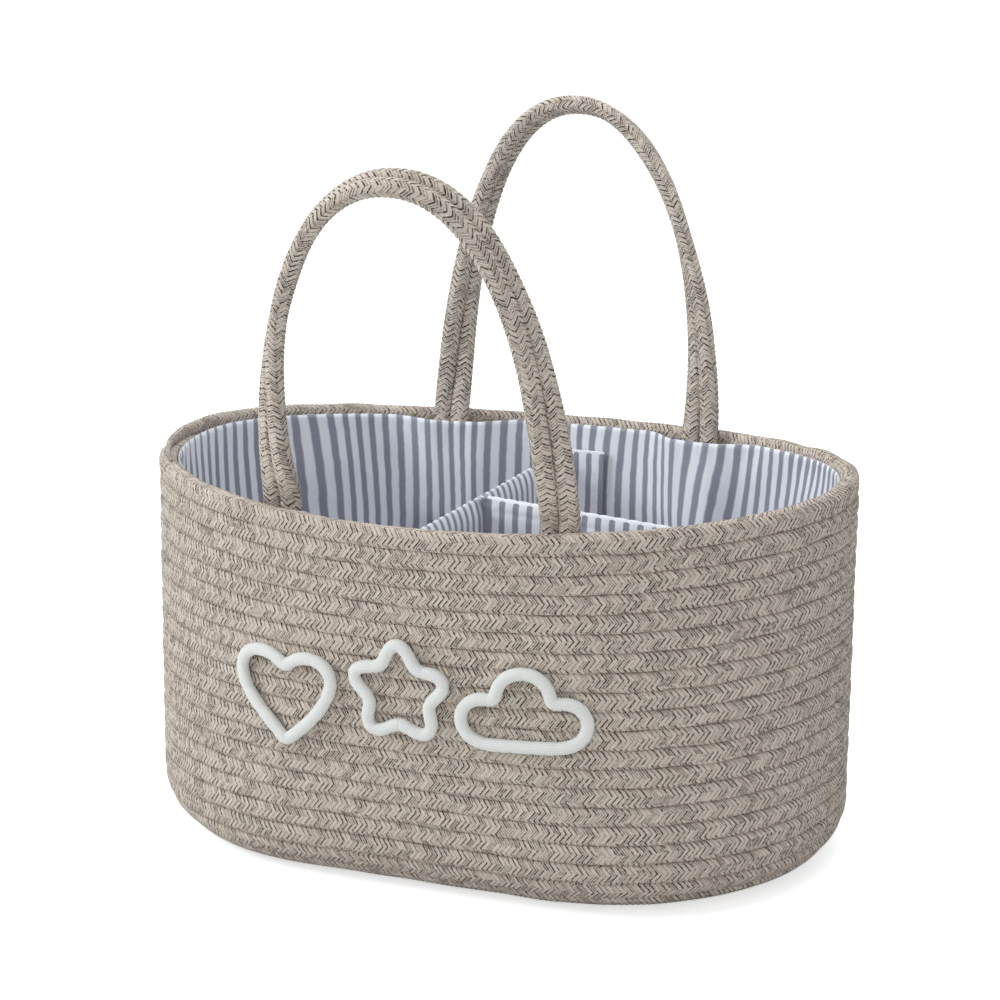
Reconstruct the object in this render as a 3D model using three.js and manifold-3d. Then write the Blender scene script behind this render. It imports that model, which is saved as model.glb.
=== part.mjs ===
// Diaper caddy: an oval basket of coiled cotton rope with a striped lining, two rope handles
// and a lift-out divider that makes three compartments.
// Millimetres. +X runs along the basket, -Y is its front and +Z is up.
// The origin is on the floor under the middle of the basket.
import * as THREE from 'three';
import Module from 'manifold-3d';
import { mergeVertices } from 'three/addons/utils/BufferGeometryUtils.js';

const wasm = await Module();
wasm.setup();

// Basket, measured over the outside of the rope
const basketHeight = 199;
const rimHalfLength = 190;
const rimHalfWidth = 137.2;
const baseHalfLength = 188.9;
const baseHalfWidth = 126.1;
const edgeRadius = 30;
const rimLift = 4; // the rim's ends stand this far above its mean height, its sides as far below

// Coiled rope
const ropeDiameter = 9.8;
const rowGap = 0.7; // between one row and the next
const floorCutShare = 0.1; // of the rope's diameter, pressed flat on the floor
const faceReachShare = 0.95; // of the rope's radius, from its middle to a flat face
const faceWidthShare = 0.6;
const ropeTipShare = 0.3; // size left at the rope's sewn-down end
const ropeTipSteps = 3;
const straightSteps = 3;
const bendSteps = 9;

// Clearances
const touchGap = 0.3; // between pieces that touch on the real thing
const seatGap = 0.5; // between a soft piece and the faceted rope it lies on
const panelClearance = 1.2; // between the divider's edges and the lining
const overrun = 5; // how far a cutting solid passes the face that it opens

// Lining
const liningThickness = 1.2;
const liningDrop = 5; // from the rim's top down to the lining's edge
const liningSteps = 3; // points to each step of the rope
const bulgeHalfWidth = 17;
const bulgeBlend = 12;
const bulgeFade = 25;

// Handles, each a strap of two ropes side by side
const handleRopeDiameter = 8.8;
const pairGap = 0.4;
const handleHalfWidth = 74.5;
const handleRise = 178; // from the swing line to the strap's middle at the top
const archPower = 0.93; // 1 is half an ellipse, and less is squarer
const topShift = 17; // how far the top hangs to one side
const shiftPower = 1.5;
const tailLength = 55; // sewn between the rope wall and the lining
const frontLean = THREE.MathUtils.degToRad(22);
const backLean = THREE.MathUtils.degToRad(14.5);
const twistShare = 0.8; // below 1, the strap turns sooner on its way up
const handleSides = 8;
const archSteps = 14;
const domeSteps = 3;

// Divider
const boardThickness = 1.6;
const clothThickness = 0.8;
const clothEdgeRound = 0.7;
const dividerX = -13.5;
const dividerTop = 180;
const dividerDrop = 16; // the lengthwise panel's top falls this much to the end wall
const dividerTilt = 3.2; // a panel's top lies this much below the wall's height that it ends at
const tabThickness = 1;
const tabWidth = 25;
const tabTop = 184.5; // measured up the wall's middle, as is its height
const tabHeight = 104;
const stripThickness = 1;
const stripMargin = 4; // from a tab's edge to its strip

// White cord sewn to the front
const trimDiameter = 6.4;
const trimSides = 8;
const trimPitch = 4.5; // from one section of the cord to the next
const trimPasses = 3; // of rounding the cord's bends
const motifHeight = 104;
const motifSpacing = 64;
const motifPlaces = 72;
const heartSize = 27;
const heartShares = [0.85, 0.32, 0.12]; // of its outline's three waves
const starSize = 26;
const starArms = 5;
const starDipShare = 0.2;
const starDrop = 8;
const cloudMiddleRadius = 13;
const cloudTopRadius = 13.5;
const cloudTopRise = 11;
const cloudSideRadius = 12;
const cloudSideSpan = 20;
const cloudSideDrop = 2;

const ropeRadius = ropeDiameter / 2;
const faceReach = ropeRadius * faceReachShare;
const coreHalf = baseHalfLength - baseHalfWidth;
const lineHalfLength = rimHalfLength - ropeRadius;
const lineHalfWidth = rimHalfWidth - ropeRadius;
const baseLine = ropeRadius - ropeDiameter * floorCutShare;
const flatReach = baseHalfWidth - edgeRadius;
const bendRadius = edgeRadius - ropeRadius;
const bendLength = (bendRadius * Math.PI) / 2;
const wallFoot = baseLine + bendRadius;
const topLine = basketHeight - ropeRadius;
const meanReach = flatReach + bendLength + topLine - wallFoot;
const rowCount = Math.round(meanReach / ropeDiameter + 0.5);
const rowPitch = meanReach / (rowCount - 0.5);
const ridgeReach = (rowPitch - rowGap) / 2;
const halfTurnSteps = straightSteps + bendSteps;
const straightStepLength = (2 * coreHalf) / straightSteps;

const handleRopeRadius = handleRopeDiameter / 2;
const pairHalf = (handleRopeDiameter + pairGap) / 2;
const liningInset = faceReach + seatGap;
const liningFace = liningInset + liningThickness;
const panelInset = liningFace + panelClearance;
const coverThickness = boardThickness + 2 * (touchGap + clothThickness);
const stripInset = liningFace + touchGap;
const hookInset = stripInset + stripThickness + touchGap;
const tabInset = hookInset + stripThickness + touchGap;

const cotton = { color: 0xb8ac9e, roughness: 0.95, metalness: 0 };
const stripedCotton = { color: 0xb4b9cc, roughness: 0.9, metalness: 0 };
const whiteCord = { color: 0xe4e5e0, roughness: 0.9, metalness: 0 };
const greyCard = { color: 0x9a938a, roughness: 0.85, metalness: 0 };
const whiteTape = { color: 0xdedfe4, roughness: 0.8, metalness: 0 };

// The signed volume of a closed triangle mesh, which is below zero when its faces point in.
function signedVolume(points, faces) {
  const corner = (i) => points[i];
  let total = 0;
  for (const [a, b, c] of faces) {
    total += corner(a).dot(new THREE.Vector3().crossVectors(corner(b), corner(c)));
  }
  return total / 6;
}

// A closed solid from rows of points. Each row closes on itself, and the rows
// either close on each other too or end in flat caps.
function loft(rows, rowsClose = false) {
  const width = rows[0].length;
  const points = rows.flat();
  const faces = [];
  const lastRow = rowsClose ? rows.length : rows.length - 1;
  for (let r = 0; r < lastRow; r++) {
    const next = (r + 1) % rows.length;
    for (let i = 0; i < width; i++) {
      const j = (i + 1) % width;
      faces.push([r * width + i, r * width + j, next * width + j]);
      faces.push([r * width + i, next * width + j, next * width + i]);
    }
  }
  if (!rowsClose) {
    const end = (rows.length - 1) * width;
    for (let i = 1; i < width - 1; i++) {
      faces.push([0, i + 1, i]);
      faces.push([end, end + i, end + i + 1]);
    }
  }
  if (signedVolume(points, faces) < 0) faces.forEach((face) => face.reverse());
  const geometry = new THREE.BufferGeometry().setFromPoints(points);
  geometry.setIndex(faces.flat());
  return geometry;
}

function toSolid(geometry) {
  const plain = geometry.clone();
  plain.deleteAttribute('normal');
  plain.deleteAttribute('uv');
  const merged = mergeVertices(plain);
  const vertProperties = new Float32Array(merged.attributes.position.array);
  const triVerts = new Uint32Array(merged.index.array);
  return new wasm.Manifold(new wasm.Mesh({ numProp: 3, vertProperties, triVerts }));
}

function cutAway(geometry, tool) {
  const mesh = toSolid(geometry).subtract(toSolid(tool)).getMesh();
  const result = new THREE.BufferGeometry();
  result.setAttribute('position', new THREE.BufferAttribute(mesh.vertProperties, 3));
  result.setIndex(new THREE.BufferAttribute(mesh.triVerts, 1));
  return result;
}

function piece(name, geometry, finish) {
  const mesh = new THREE.Mesh(geometry, new THREE.MeshStandardMaterial(finish));
  mesh.name = name;
  return mesh;
}

// The basket's surface, followed by the middle of the rope

// One turn has a straight run along the front, the right end, one along the back and the left
// end. A half turn is a run and an end, and the second half is the first turned about Z.
function station(step) {
  const half = Math.floor(step / halfTurnSteps);
  const within = step - half * halfTurnSteps;
  return {
    half,
    side: half % 2 === 0 ? 1 : -1,
    along: coreHalf * (2 * Math.min(within / straightSteps, 1) - 1),
    turn: (Math.max(within - straightSteps, 0) / bendSteps - 0.5) * Math.PI,
  };
}

// Reach runs from the middle of the base outwards, round the bottom edge and up the wall.
function bendAngle(reach) {
  return (THREE.MathUtils.clamp((reach - flatReach) / bendLength, 0, 1) * Math.PI) / 2;
}

function reachAtHeight(height) {
  return flatReach + bendLength + height - wallFoot;
}

// The base's outline is a straight-sided oval and the rim's an ellipse, with the wall between.
function surfacePoint(step, reach) {
  const { side, along, turn } = station(step);
  const bend = bendAngle(reach);
  const offset = Math.min(reach, flatReach) + bendRadius * Math.sin(bend);
  const wall = Math.max(reach - flatReach - bendLength, 0);
  const height = baseLine + bendRadius * (1 - Math.cos(bend)) + wall;
  const rise = wall / (topLine - wallFoot);
  const slide = (rowPitch / 4) * Math.cos(turn);
  const around = (Math.acos(along / lineHalfLength) * turn) / (Math.PI / 2);
  const { lerp } = THREE.MathUtils;
  const ovalX = along + offset * Math.cos(turn) - slide * Math.sin(turn);
  const ovalY = offset * Math.sin(turn) + slide * Math.cos(turn);
  const x = lerp(ovalX, lineHalfLength * Math.cos(around), rise);
  const y = lerp(ovalY, lineHalfWidth * Math.sin(around), rise);
  const wave = rimLift * rise * ((x / lineHalfLength) ** 2 - (y / lineHalfWidth) ** 2);
  return new THREE.Vector3(side * x, side * y, height + wave);
}

// The outward direction of the surface for a path that runs along heading.
function outward(heading, reach) {
  const bend = bendAngle(reach);
  const level = new THREE.Vector3(heading.y, -heading.x, 0).normalize();
  return level.multiplyScalar(Math.sin(bend)).setZ(-Math.cos(bend));
}

function insetPoint(step, reach, inset) {
  const nearby = 1 / halfTurnSteps;
  const heading = surfacePoint(step + nearby, reach).sub(surfacePoint(step - nearby, reach));
  return surfacePoint(step, reach).addScaledVector(outward(heading, reach), -inset);
}

// A point on the flat facets between stations, as the rope runs straight from one to the next.
function facetPoint(step, reach, inset) {
  const low = Math.floor(step);
  const point = insetPoint(low, reach, inset);
  return point.lerp(insetPoint(low + 1, reach, inset), step - low);
}

// The step at which the surface on the front, or round the right end, has a given coordinate.
function stepWhere(axis, value, reach, inset) {
  let step = -bendSteps / 2;
  while (facetPoint(step + 1, reach, inset)[axis] < value && step < halfTurnSteps) step += 1;
  step = Math.floor(step);
  while (facetPoint(step + 1, reach, inset)[axis] < value) step += 1;
  const low = facetPoint(step, reach, inset)[axis];
  const high = facetPoint(step + 1, reach, inset)[axis];
  return step + (value - low) / (high - low);
}

// Coiled rope

function coilReach(step) {
  const { half, turn } = station(step);
  return ((half + 1) * rowPitch) / 2 + (rowPitch / 4) * Math.sin(turn);
}

function coilPoint(step) {
  return surfacePoint(step, coilReach(step));
}

function coilSection(step, floor, sizeShare) {
  const nearby = 1 / halfTurnSteps;
  const heading = coilPoint(step + nearby).sub(coilPoint(step - nearby)).normalize();
  const out = outward(heading, coilReach(step));
  const across = new THREE.Vector3().crossVectors(out, heading).normalize();
  const middle = coilPoint(step).addScaledVector(across, -(1 - sizeShare) * ridgeReach);
  const faceHalf = ropeRadius * faceWidthShare;
  const outline = [
    [faceReach, faceHalf],
    [0, ridgeReach],
    [-faceReach, faceHalf],
    [-faceReach, -faceHalf],
    [0, -ridgeReach],
    [faceReach, -faceHalf],
  ];
  return outline.map(([deep, wide]) => {
    const point = middle.clone().addScaledVector(out, deep * sizeShare);
    point.addScaledVector(across, wide * sizeShare);
    return point.setZ(Math.max(point.z, floor));
  });
}

const turnSteps = 2 * halfTurnSteps;
const baseTurns = Math.round(flatReach / rowPitch - 1);
const jointStep = baseTurns * turnSteps + halfTurnSteps + straightSteps / 2;
const lastStep = rowCount * turnSteps - bendSteps / 2 - 0.5;

// The rope's sections from one step to another, which need not be whole steps.
function coilSections(first, last, floor) {
  const steps = [first];
  for (let step = Math.floor(first) + 1; step < last; step++) steps.push(step);
  steps.push(last);
  return steps.map((step) => {
    const fromTip = (lastStep - step) / ropeTipSteps;
    return coilSection(step, floor, THREE.MathUtils.lerp(ropeTipShare, 1, Math.min(fromTip, 1)));
  });
}

// The least gap between rows: points on the ridges of one turn against the ridges of others.
function leastGap(sections) {
  const ridges = [1, 4].map((corner) => sections.map((section) => section[corner]));
  const nearest = new THREE.Vector3();
  const line = new THREE.Line3();
  let least = Infinity;
  for (const ridge of ridges) {
    for (let i = 0; i + 1 < ridge.length; i++) {
      line.set(ridge[i], ridge[i + 1]);
      for (const other of ridges) {
        for (let j = i + bendSteps + 1; j < Math.min(other.length, i + turnSteps + bendSteps); j++) {
          for (const point of [other[j], other[j].clone().lerp(other[j - 1], 0.5)]) {
            line.closestPointToPoint(point, true, nearest);
            least = Math.min(least, nearest.distanceTo(point));
          }
        }
      }
    }
  }
  return least;
}

function coiledRope() {
  const endGap = touchGap / 2 / straightStepLength;
  const base = coilSections(0, jointStep - endGap, 0);
  const wall = coilSections(jointStep + endGap, lastStep, touchGap);
  const gap = leastGap([...base, ...wall]);
  console.log(`least gap between the turns of rope: ${gap.toFixed(2)} mm`);
  return [piece('base_rope', loft(base), cotton), piece('wall_rope', loft(wall), cotton)];
}

// Handles and where they are sewn in

const outerRopeX = handleHalfWidth + pairHalf;
const innerRopeX = handleHalfWidth - pairHalf;

// The slope of the wall's plan where the outer rope of a leg meets it.
function wallSlope(reach) {
  const step = Math.floor(stepWhere('x', outerRopeX, reach, 0));
  const run = facetPoint(step + 1, reach, 0).sub(facetPoint(step, reach, 0));
  return run.y / run.x;
}

// How far from the middle plane a leg stands at a height, so that it lies along the wall.
function legY(height) {
  const reach = reachAtHeight(height);
  const wall = facetPoint(stepWhere('x', outerRopeX, reach, 0), reach, 0);
  const across = (faceReach + seatGap + handleRopeRadius) * Math.hypot(1, wallSlope(reach));
  return -wall.y - across;
}

const swingHeight = basketHeight;
const swingY = legY(swingHeight);
const tailTop = swingHeight - handleRopeRadius - seatGap;
const tailFoot = tailTop - tailLength;

function ringAround(middle, first, second, radius) {
  const ring = [];
  for (let i = 0; i < handleSides; i++) {
    const angle = ((i + 0.5) / handleSides) * 2 * Math.PI;
    const point = middle.clone().addScaledVector(first, radius * Math.cos(angle));
    ring.push(point.addScaledVector(second, radius * Math.sin(angle)));
  }
  return ring;
}

// The middle line of a handle's strap from its left foot to its right, swing line at zero.
function strapLine() {
  const line = [];
  for (let i = 0; i <= 2 * archSteps; i++) {
    const angle = Math.PI * (1 - i / (2 * archSteps));
    const aside = Math.abs(Math.cos(angle)) ** archPower * Math.sign(Math.cos(angle));
    const rise = Math.abs(Math.sin(angle)) ** archPower;
    const x = handleHalfWidth * aside + topShift * rise ** shiftPower;
    line.push(new THREE.Vector3(x, 0, handleRise * rise));
  }
  return line;
}

// A strap turns a quarter turn from each foot to its top: its ropes lie side by side
// along the basket at the feet, and across it at the top.
function strapRope(side) {
  const line = strapLine();
  const lengths = line.map((point, i) => (i ? point.distanceTo(line[i - 1]) : 0));
  const total = lengths.reduce((sum, length) => sum + length, 0);
  const inward = new THREE.Vector3(0, 1, 0);
  let walked = 0;
  return line.map((point, i) => {
    walked += lengths[i];
    const fromFootShare = 1 - Math.abs(1 - (2 * walked) / total);
    const twist = (Math.PI / 2) * Math.sin((Math.PI / 2) * fromFootShare ** twistShare);
    const before = line[Math.max(i - 1, 0)];
    const after = line[Math.min(i + 1, line.length - 1)];
    const heading = after.clone().sub(before).normalize();
    const outOfArch = new THREE.Vector3(-heading.z, 0, heading.x);
    const offset = outOfArch.multiplyScalar(Math.cos(twist)).addScaledVector(inward, Math.sin(twist));
    return point.clone().addScaledVector(offset, side * pairHalf);
  });
}

function strapRopeGeometry(side) {
  const line = strapRope(side);
  const inward = new THREE.Vector3(0, 1, 0);
  const rings = line.map((point, i) => {
    const before = line[Math.max(i - 1, 0)];
    const after = line[Math.min(i + 1, line.length - 1)];
    const heading = i % (line.length - 1) ? after.clone().sub(before).normalize() : null;
    const along = heading ?? new THREE.Vector3(0, 0, i ? -1 : 1);
    const first = new THREE.Vector3().crossVectors(inward, along).normalize();
    const second = new THREE.Vector3().crossVectors(along, first);
    return ringAround(point, first, second, handleRopeRadius);
  });
  const dome = (foot, forward) => {
    const caps = [];
    for (let i = 1; i < domeSteps; i++) {
      const angle = (i / domeSteps) * (Math.PI / 2);
      const down = new THREE.Vector3(0, 0, -handleRopeRadius * Math.sin(angle)).add(foot);
      const first = new THREE.Vector3(forward, 0, 0);
      const radius = handleRopeRadius * Math.cos(angle);
      caps.push(ringAround(down, first, inward, radius));
    }
    return caps;
  };
  const start = dome(line[0], 1).reverse();
  const end = dome(line[line.length - 1], -1);
  return loft([...start, ...rings, ...end]);
}

function handle(place, lean) {
  const swing = new THREE.Group();
  swing.position.set(0, -swingY, swingHeight);
  swing.rotation.x = lean;
  swing.add(piece(`${place}_handle_outer_rope`, strapRopeGeometry(1), cotton));
  swing.add(piece(`${place}_handle_inner_rope`, strapRopeGeometry(-1), cotton));
  return swing;
}

// The four tails of a handle, each the rope that goes on below the swing line.
function tails(place) {
  const group = new THREE.Group();
  const first = new THREE.Vector3(1, 0, 0);
  const second = new THREE.Vector3(0, 1, 0);
  for (const [sideName, side] of [['left', -1], ['right', 1]]) {
    for (const [ropeName, x] of [['outer', outerRopeX], ['inner', innerRopeX]]) {
      const rings = [tailTop, tailFoot].map((height) => {
        const middle = new THREE.Vector3(side * x, -legY(height), height);
        return ringAround(middle, first, second, handleRopeRadius);
      });
      group.add(piece(`${place}_${sideName}_${ropeName}_tail`, loft(rings), cotton));
    }
  }
  return group;
}

function turnedToBack(group) {
  const turned = new THREE.Group();
  turned.rotation.z = Math.PI;
  turned.add(group);
  return turned;
}

// Lining

const bulgeDepth =
  handleRopeDiameter + 2 * pairHalf * Math.abs(wallSlope(reachAtHeight(tailTop))) + seatGap;

// How far the lining stands off the rope where it covers the sewn-in tails.
function bulge(point) {
  const { smoothstep } = THREE.MathUtils;
  const aside = Math.abs(Math.abs(point.x) - handleHalfWidth) - bulgeHalfWidth;
  const below = tailFoot - seatGap - point.z;
  const sideways = 1 - smoothstep(aside, 0, bulgeBlend);
  return bulgeDepth * sideways * (1 - smoothstep(below, 0, bulgeFade));
}

// The rim rises from front to back by half a row, as the rope climbs a row in each turn.
function liningReach(step, share) {
  const top = flatReach + bendLength + topLine - wallFoot + ropeRadius - liningDrop;
  const tilt = ((rowPitch / 4) * surfacePoint(step, top).y) / lineHalfWidth;
  return THREE.MathUtils.lerp(flatReach + touchGap, top + tilt, share);
}

function liningRow(rowReach, inset) {
  const row = [];
  for (let i = 0; i < turnSteps * liningSteps; i++) {
    const step = i / liningSteps;
    const flat = facetPoint(step, rowReach(step), inset);
    row.push(facetPoint(step, rowReach(step), inset + bulge(flat)));
  }
  return row;
}

function lining() {
  const fixed = [0, 1 / 3, 2 / 3, 1].map((share) => flatReach + touchGap + share * bendLength);
  fixed.push(reachAtHeight(tailFoot - seatGap - bulgeFade), reachAtHeight(tailFoot - seatGap));
  const rows = fixed.map((reach) => () => reach);
  rows.push((step) => liningReach(step, 1));
  const outer = rows.map((row) => liningRow(row, liningInset));
  const inner = rows.map((row) => liningRow(row, liningFace)).reverse();
  const bottom = [liningInset, liningFace].map((inset) => {
    const ring = [];
    for (let step = 0; step < turnSteps; step++) {
      ring.push(facetPoint(step, flatReach - touchGap, inset));
    }
    return ring;
  });
  return [
    piece('lining_wall', loft([...outer, ...inner], true), stripedCotton),
    piece('lining_bottom', loft(bottom), stripedCotton),
  ];
}

// Divider

// The edge of a panel that stands against the lining: from the floor, up the wall to a height.
function panelEdge(step, inset, height) {
  const reaches = [0, 1 / 3, 2 / 3, 1].map((share) => flatReach + share * bendLength);
  reaches.push(reachAtHeight(height));
  return reaches.map((reach) => facetPoint(step(reach), reach, inset));
}

function extruded(points, depth, round) {
  const shape = new THREE.Shape(points);
  const geometry = new THREE.ExtrudeGeometry(shape, {
    depth: depth - 2 * round,
    bevelEnabled: round > 0,
    bevelThickness: round,
    bevelSize: round,
    bevelOffset: -round,
    bevelSegments: 2,
  });
  return geometry.translate(0, 0, round - depth / 2);
}

// The crosswise panel's outline, drawn in Y and Z. A deeper foot makes a pocket's cutter.
function crossOutline(inset, top, foot) {
  const step = (reach) => stepWhere('x', dividerX, reach, inset);
  const edge = panelEdge(step, inset, top).map((point) => new THREE.Vector2(-point.y, point.z));
  const right = edge.map((point) => point.clone());
  right[0].y -= foot;
  const left = right.map((point) => new THREE.Vector2(-point.x, point.y)).reverse();
  return [...right, ...left];
}

// The lengthwise panel's outline, drawn in X and Z, from the crosswise panel to the end wall.
function longOutline(inset, near, lower, foot) {
  const end = halfTurnSteps - bendSteps / 2;
  const edge = panelEdge(() => end, inset, dividerTop - dividerDrop - lower);
  const outline = edge.map((point) => new THREE.Vector2(point.x, point.z));
  const bottom = outline[0].y - foot;
  outline[0].y = bottom;
  outline.push(new THREE.Vector2(near, dividerTop - lower));
  outline.push(new THREE.Vector2(near, bottom));
  return outline;
}

// Turns a panel drawn flat so that its height is along Z, facing along X or along Y.
function stoodUp(geometry, faceAlongX) {
  geometry.rotateX(Math.PI / 2);
  return faceAlongX ? geometry.rotateZ(Math.PI / 2) : geometry;
}

function crossPanel() {
  const pocketInset = panelInset + clothThickness;
  const boardInset = pocketInset + touchGap;
  const top = dividerTop + dividerTilt;
  const whole = extruded(crossOutline(panelInset, top, 0), coverThickness, clothEdgeRound);
  const hollow = coverThickness - 2 * clothThickness;
  const pocket = extruded(crossOutline(pocketInset, top - clothThickness, overrun), hollow, 0);
  const boardTop = top - clothThickness - touchGap;
  const board = extruded(crossOutline(boardInset, boardTop, 0), boardThickness, 0);
  const group = new THREE.Group();
  group.position.x = dividerX;
  group.add(piece('divider_cross_cover', stoodUp(cutAway(whole, pocket), true), stripedCotton));
  group.add(piece('divider_cross_board', stoodUp(board, true), greyCard));
  return group;
}

function longPanel() {
  const near = dividerX + coverThickness / 2 + touchGap;
  const pocketInset = panelInset + clothThickness;
  const boardInset = pocketInset + touchGap;
  const whole = extruded(longOutline(panelInset, near, 0, 0), coverThickness, clothEdgeRound);
  const hollow = coverThickness - 2 * clothThickness;
  const pocketNear = near + clothThickness;
  const pocket = extruded(longOutline(pocketInset, pocketNear, clothThickness, overrun), hollow, 0);
  const boardLower = clothThickness + touchGap;
  const boardNear = pocketNear + touchGap;
  const board = extruded(longOutline(boardInset, boardNear, boardLower, 0), boardThickness, 0);
  const group = new THREE.Group();
  group.add(piece('divider_long_cover', stoodUp(cutAway(whole, pocket), false), stripedCotton));
  group.add(piece('divider_long_board', stoodUp(board, false), greyCard));
  return group;
}

// A thin patch that lies along the wall between two steps and two heights.
function wallPatch(firstStep, lastStep, low, high, inset, thickness) {
  const steps = [firstStep];
  for (let step = Math.floor(firstStep) + 1; step < lastStep; step++) steps.push(step);
  steps.push(lastStep);
  const corners = [
    [low, inset],
    [high, inset],
    [high, inset + thickness],
    [low, inset + thickness],
  ];
  const row = (step) => corners.map(([height, deep]) => facetPoint(step, reachAtHeight(height), deep));
  return loft(steps.map(row));
}

// A tab lies on the lining beside each end of the divider, held by hook and loop strips.
function tabSet(name, stepAt, near, far) {
  const low = tabTop - tabHeight;
  const patch = (from, to, margin, inset, thickness) =>
    wallPatch(stepAt(from), stepAt(to), low + margin, tabTop - margin, inset, thickness);
  const stripNear = near + stripMargin;
  const stripFar = far - stripMargin;
  const strip = (inset) => patch(stripNear, stripFar, stripMargin, inset, stripThickness);
  const tab = patch(near, far, 0, tabInset, tabThickness);
  return [
    piece(`divider_${name}_tab`, tab, stripedCotton),
    piece(`${name}_hook_strip`, strip(hookInset), whiteTape),
    piece(`${name}_loop_strip`, strip(stripInset), whiteTape),
  ];
}

function tabs() {
  const reach = reachAtHeight(tabTop);
  const onFront = (x) => stepWhere('x', x, reach, tabInset);
  const onEnd = (y) => stepWhere('y', y, reach, tabInset);
  const beside = coverThickness / 2 + touchGap;
  const group = new THREE.Group();
  group.add(...tabSet('front', onFront, dividerX + beside, dividerX + beside + tabWidth));
  group.add(...tabSet('end', onEnd, beside, beside + tabWidth));
  const back = new THREE.Group();
  back.add(...tabSet('back', onFront, -dividerX - beside - tabWidth, -dividerX - beside));
  group.add(turnedToBack(back));
  return group;
}

// White cord motifs on the front

// A closed outline whose point at each angle from its top comes from a rule.
function outline(rule) {
  const points = [];
  for (let i = 0; i <= motifPlaces; i++) {
    points.push(rule(Math.PI * ((2 * i) / motifPlaces - 1)));
  }
  return new THREE.Path(points);
}

function heartPoint(angle) {
  const [first, second, third] = heartShares;
  const aside = Math.sin(angle) ** 3;
  const up = first * Math.cos(angle) - second * Math.cos(2 * angle) - third * Math.cos(3 * angle);
  return new THREE.Vector2(heartSize * aside, heartSize * up);
}

function starPoint(angle) {
  const radius = starSize * (1 - starDipShare * (1 - Math.cos(starArms * angle)));
  return new THREE.Vector2(radius * Math.sin(angle), radius * Math.cos(angle));
}

// How far a round reaches along a heading from the motif's middle.
function puffReach(heading, across, up, radius) {
  const middle = new THREE.Vector2(across, up);
  const along = heading.dot(middle);
  const beside = radius ** 2 - middle.lengthSq() + along ** 2;
  return beside > 0 ? along + Math.sqrt(beside) : 0;
}

// Four rounds on a flat base.
function cloudPoint(angle) {
  const heading = new THREE.Vector2(Math.sin(angle), Math.cos(angle));
  const reaches = [
    puffReach(heading, 0, 0, cloudMiddleRadius),
    puffReach(heading, 0, cloudTopRise, cloudTopRadius),
    puffReach(heading, cloudSideSpan, -cloudSideDrop, cloudSideRadius),
    puffReach(heading, -cloudSideSpan, -cloudSideDrop, cloudSideRadius),
  ];
  const baseReach = -(cloudSideDrop + cloudSideRadius) / heading.y;
  const onBase = Math.abs(baseReach * heading.x) <= cloudSideSpan;
  if (heading.y < 0 && onBase) reaches.push(baseReach);
  return heading.multiplyScalar(Math.max(...reaches));
}

// Rounds the corners of a closed line to bends that the cord can take.
function rounded(points) {
  let line = points;
  for (let pass = 0; pass < trimPasses; pass++) {
    line = line.map((point, i) => {
      const beside = line.at(i - 1).clone().add(line[(i + 1) % line.length]);
      return point.clone().lerp(beside.divideScalar(2), 0.5);
    });
  }
  return line;
}

// Lays a flat motif's path on the front wall, one cord thickness proud of the rope's faces.
function onFrontWall(point, middleX, middleZ) {
  const reach = reachAtHeight(middleZ + point.y);
  const inset = -(faceReach + seatGap + trimDiameter / 2);
  return facetPoint(stepWhere('x', middleX + point.x, reach, inset), reach, inset);
}

function cordAlong(path, middleX, middleZ) {
  const places = Math.round(path.getLength() / trimPitch);
  const flat = rounded(path.getSpacedPoints(places).slice(0, -1));
  const line = flat.map((point) => onFrontWall(point, middleX, middleZ));
  const out = new THREE.Vector3(0, -1, 0);
  const rings = line.map((point, i) => {
    const heading = line[(i + 1) % line.length].clone().sub(line.at(i - 1)).normalize();
    const first = new THREE.Vector3().crossVectors(out, heading).normalize();
    const second = new THREE.Vector3().crossVectors(heading, first);
    const ring = [];
    for (let k = 0; k < trimSides; k++) {
      const angle = ((k + 0.5) / trimSides) * 2 * Math.PI;
      const spot = point.clone().addScaledVector(first, (trimDiameter / 2) * Math.cos(angle));
      ring.push(spot.addScaledVector(second, (trimDiameter / 2) * Math.sin(angle)));
    }
    return ring;
  });
  return loft(rings, true);
}

function motifs() {
  const heart = cordAlong(outline(heartPoint), -motifSpacing, motifHeight);
  const star = cordAlong(outline(starPoint), 0, motifHeight + starDrop);
  const cloud = cordAlong(outline(cloudPoint), motifSpacing, motifHeight);
  return [
    piece('heart_cord', heart, whiteCord),
    piece('star_cord', star, whiteCord),
    piece('cloud_cord', cloud, whiteCord),
  ];
}

const caddy = new THREE.Group();
caddy.add(...coiledRope());
caddy.add(...lining());
caddy.add(handle('front', frontLean), turnedToBack(handle('back', backLean)));
caddy.add(tails('front'), turnedToBack(tails('back')));
caddy.add(crossPanel(), longPanel(), tabs());
caddy.add(...motifs());

export default caddy;
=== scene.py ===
"""Diaper caddy: an oval basket of coiled cotton rope with a striped cotton lining, two rope
handles and a lift-out divider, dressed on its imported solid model.

Lengths are in millimetres until a mesh is made, and in metres from there on. +X runs along
the basket, -Y is its front and +Z is up.
"""

import logging
import math
from collections.abc import Callable, Sequence
from dataclasses import dataclass, replace
from enum import Enum

import bmesh
import bpy
import numpy as np
from mathutils import Matrix, Vector


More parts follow.
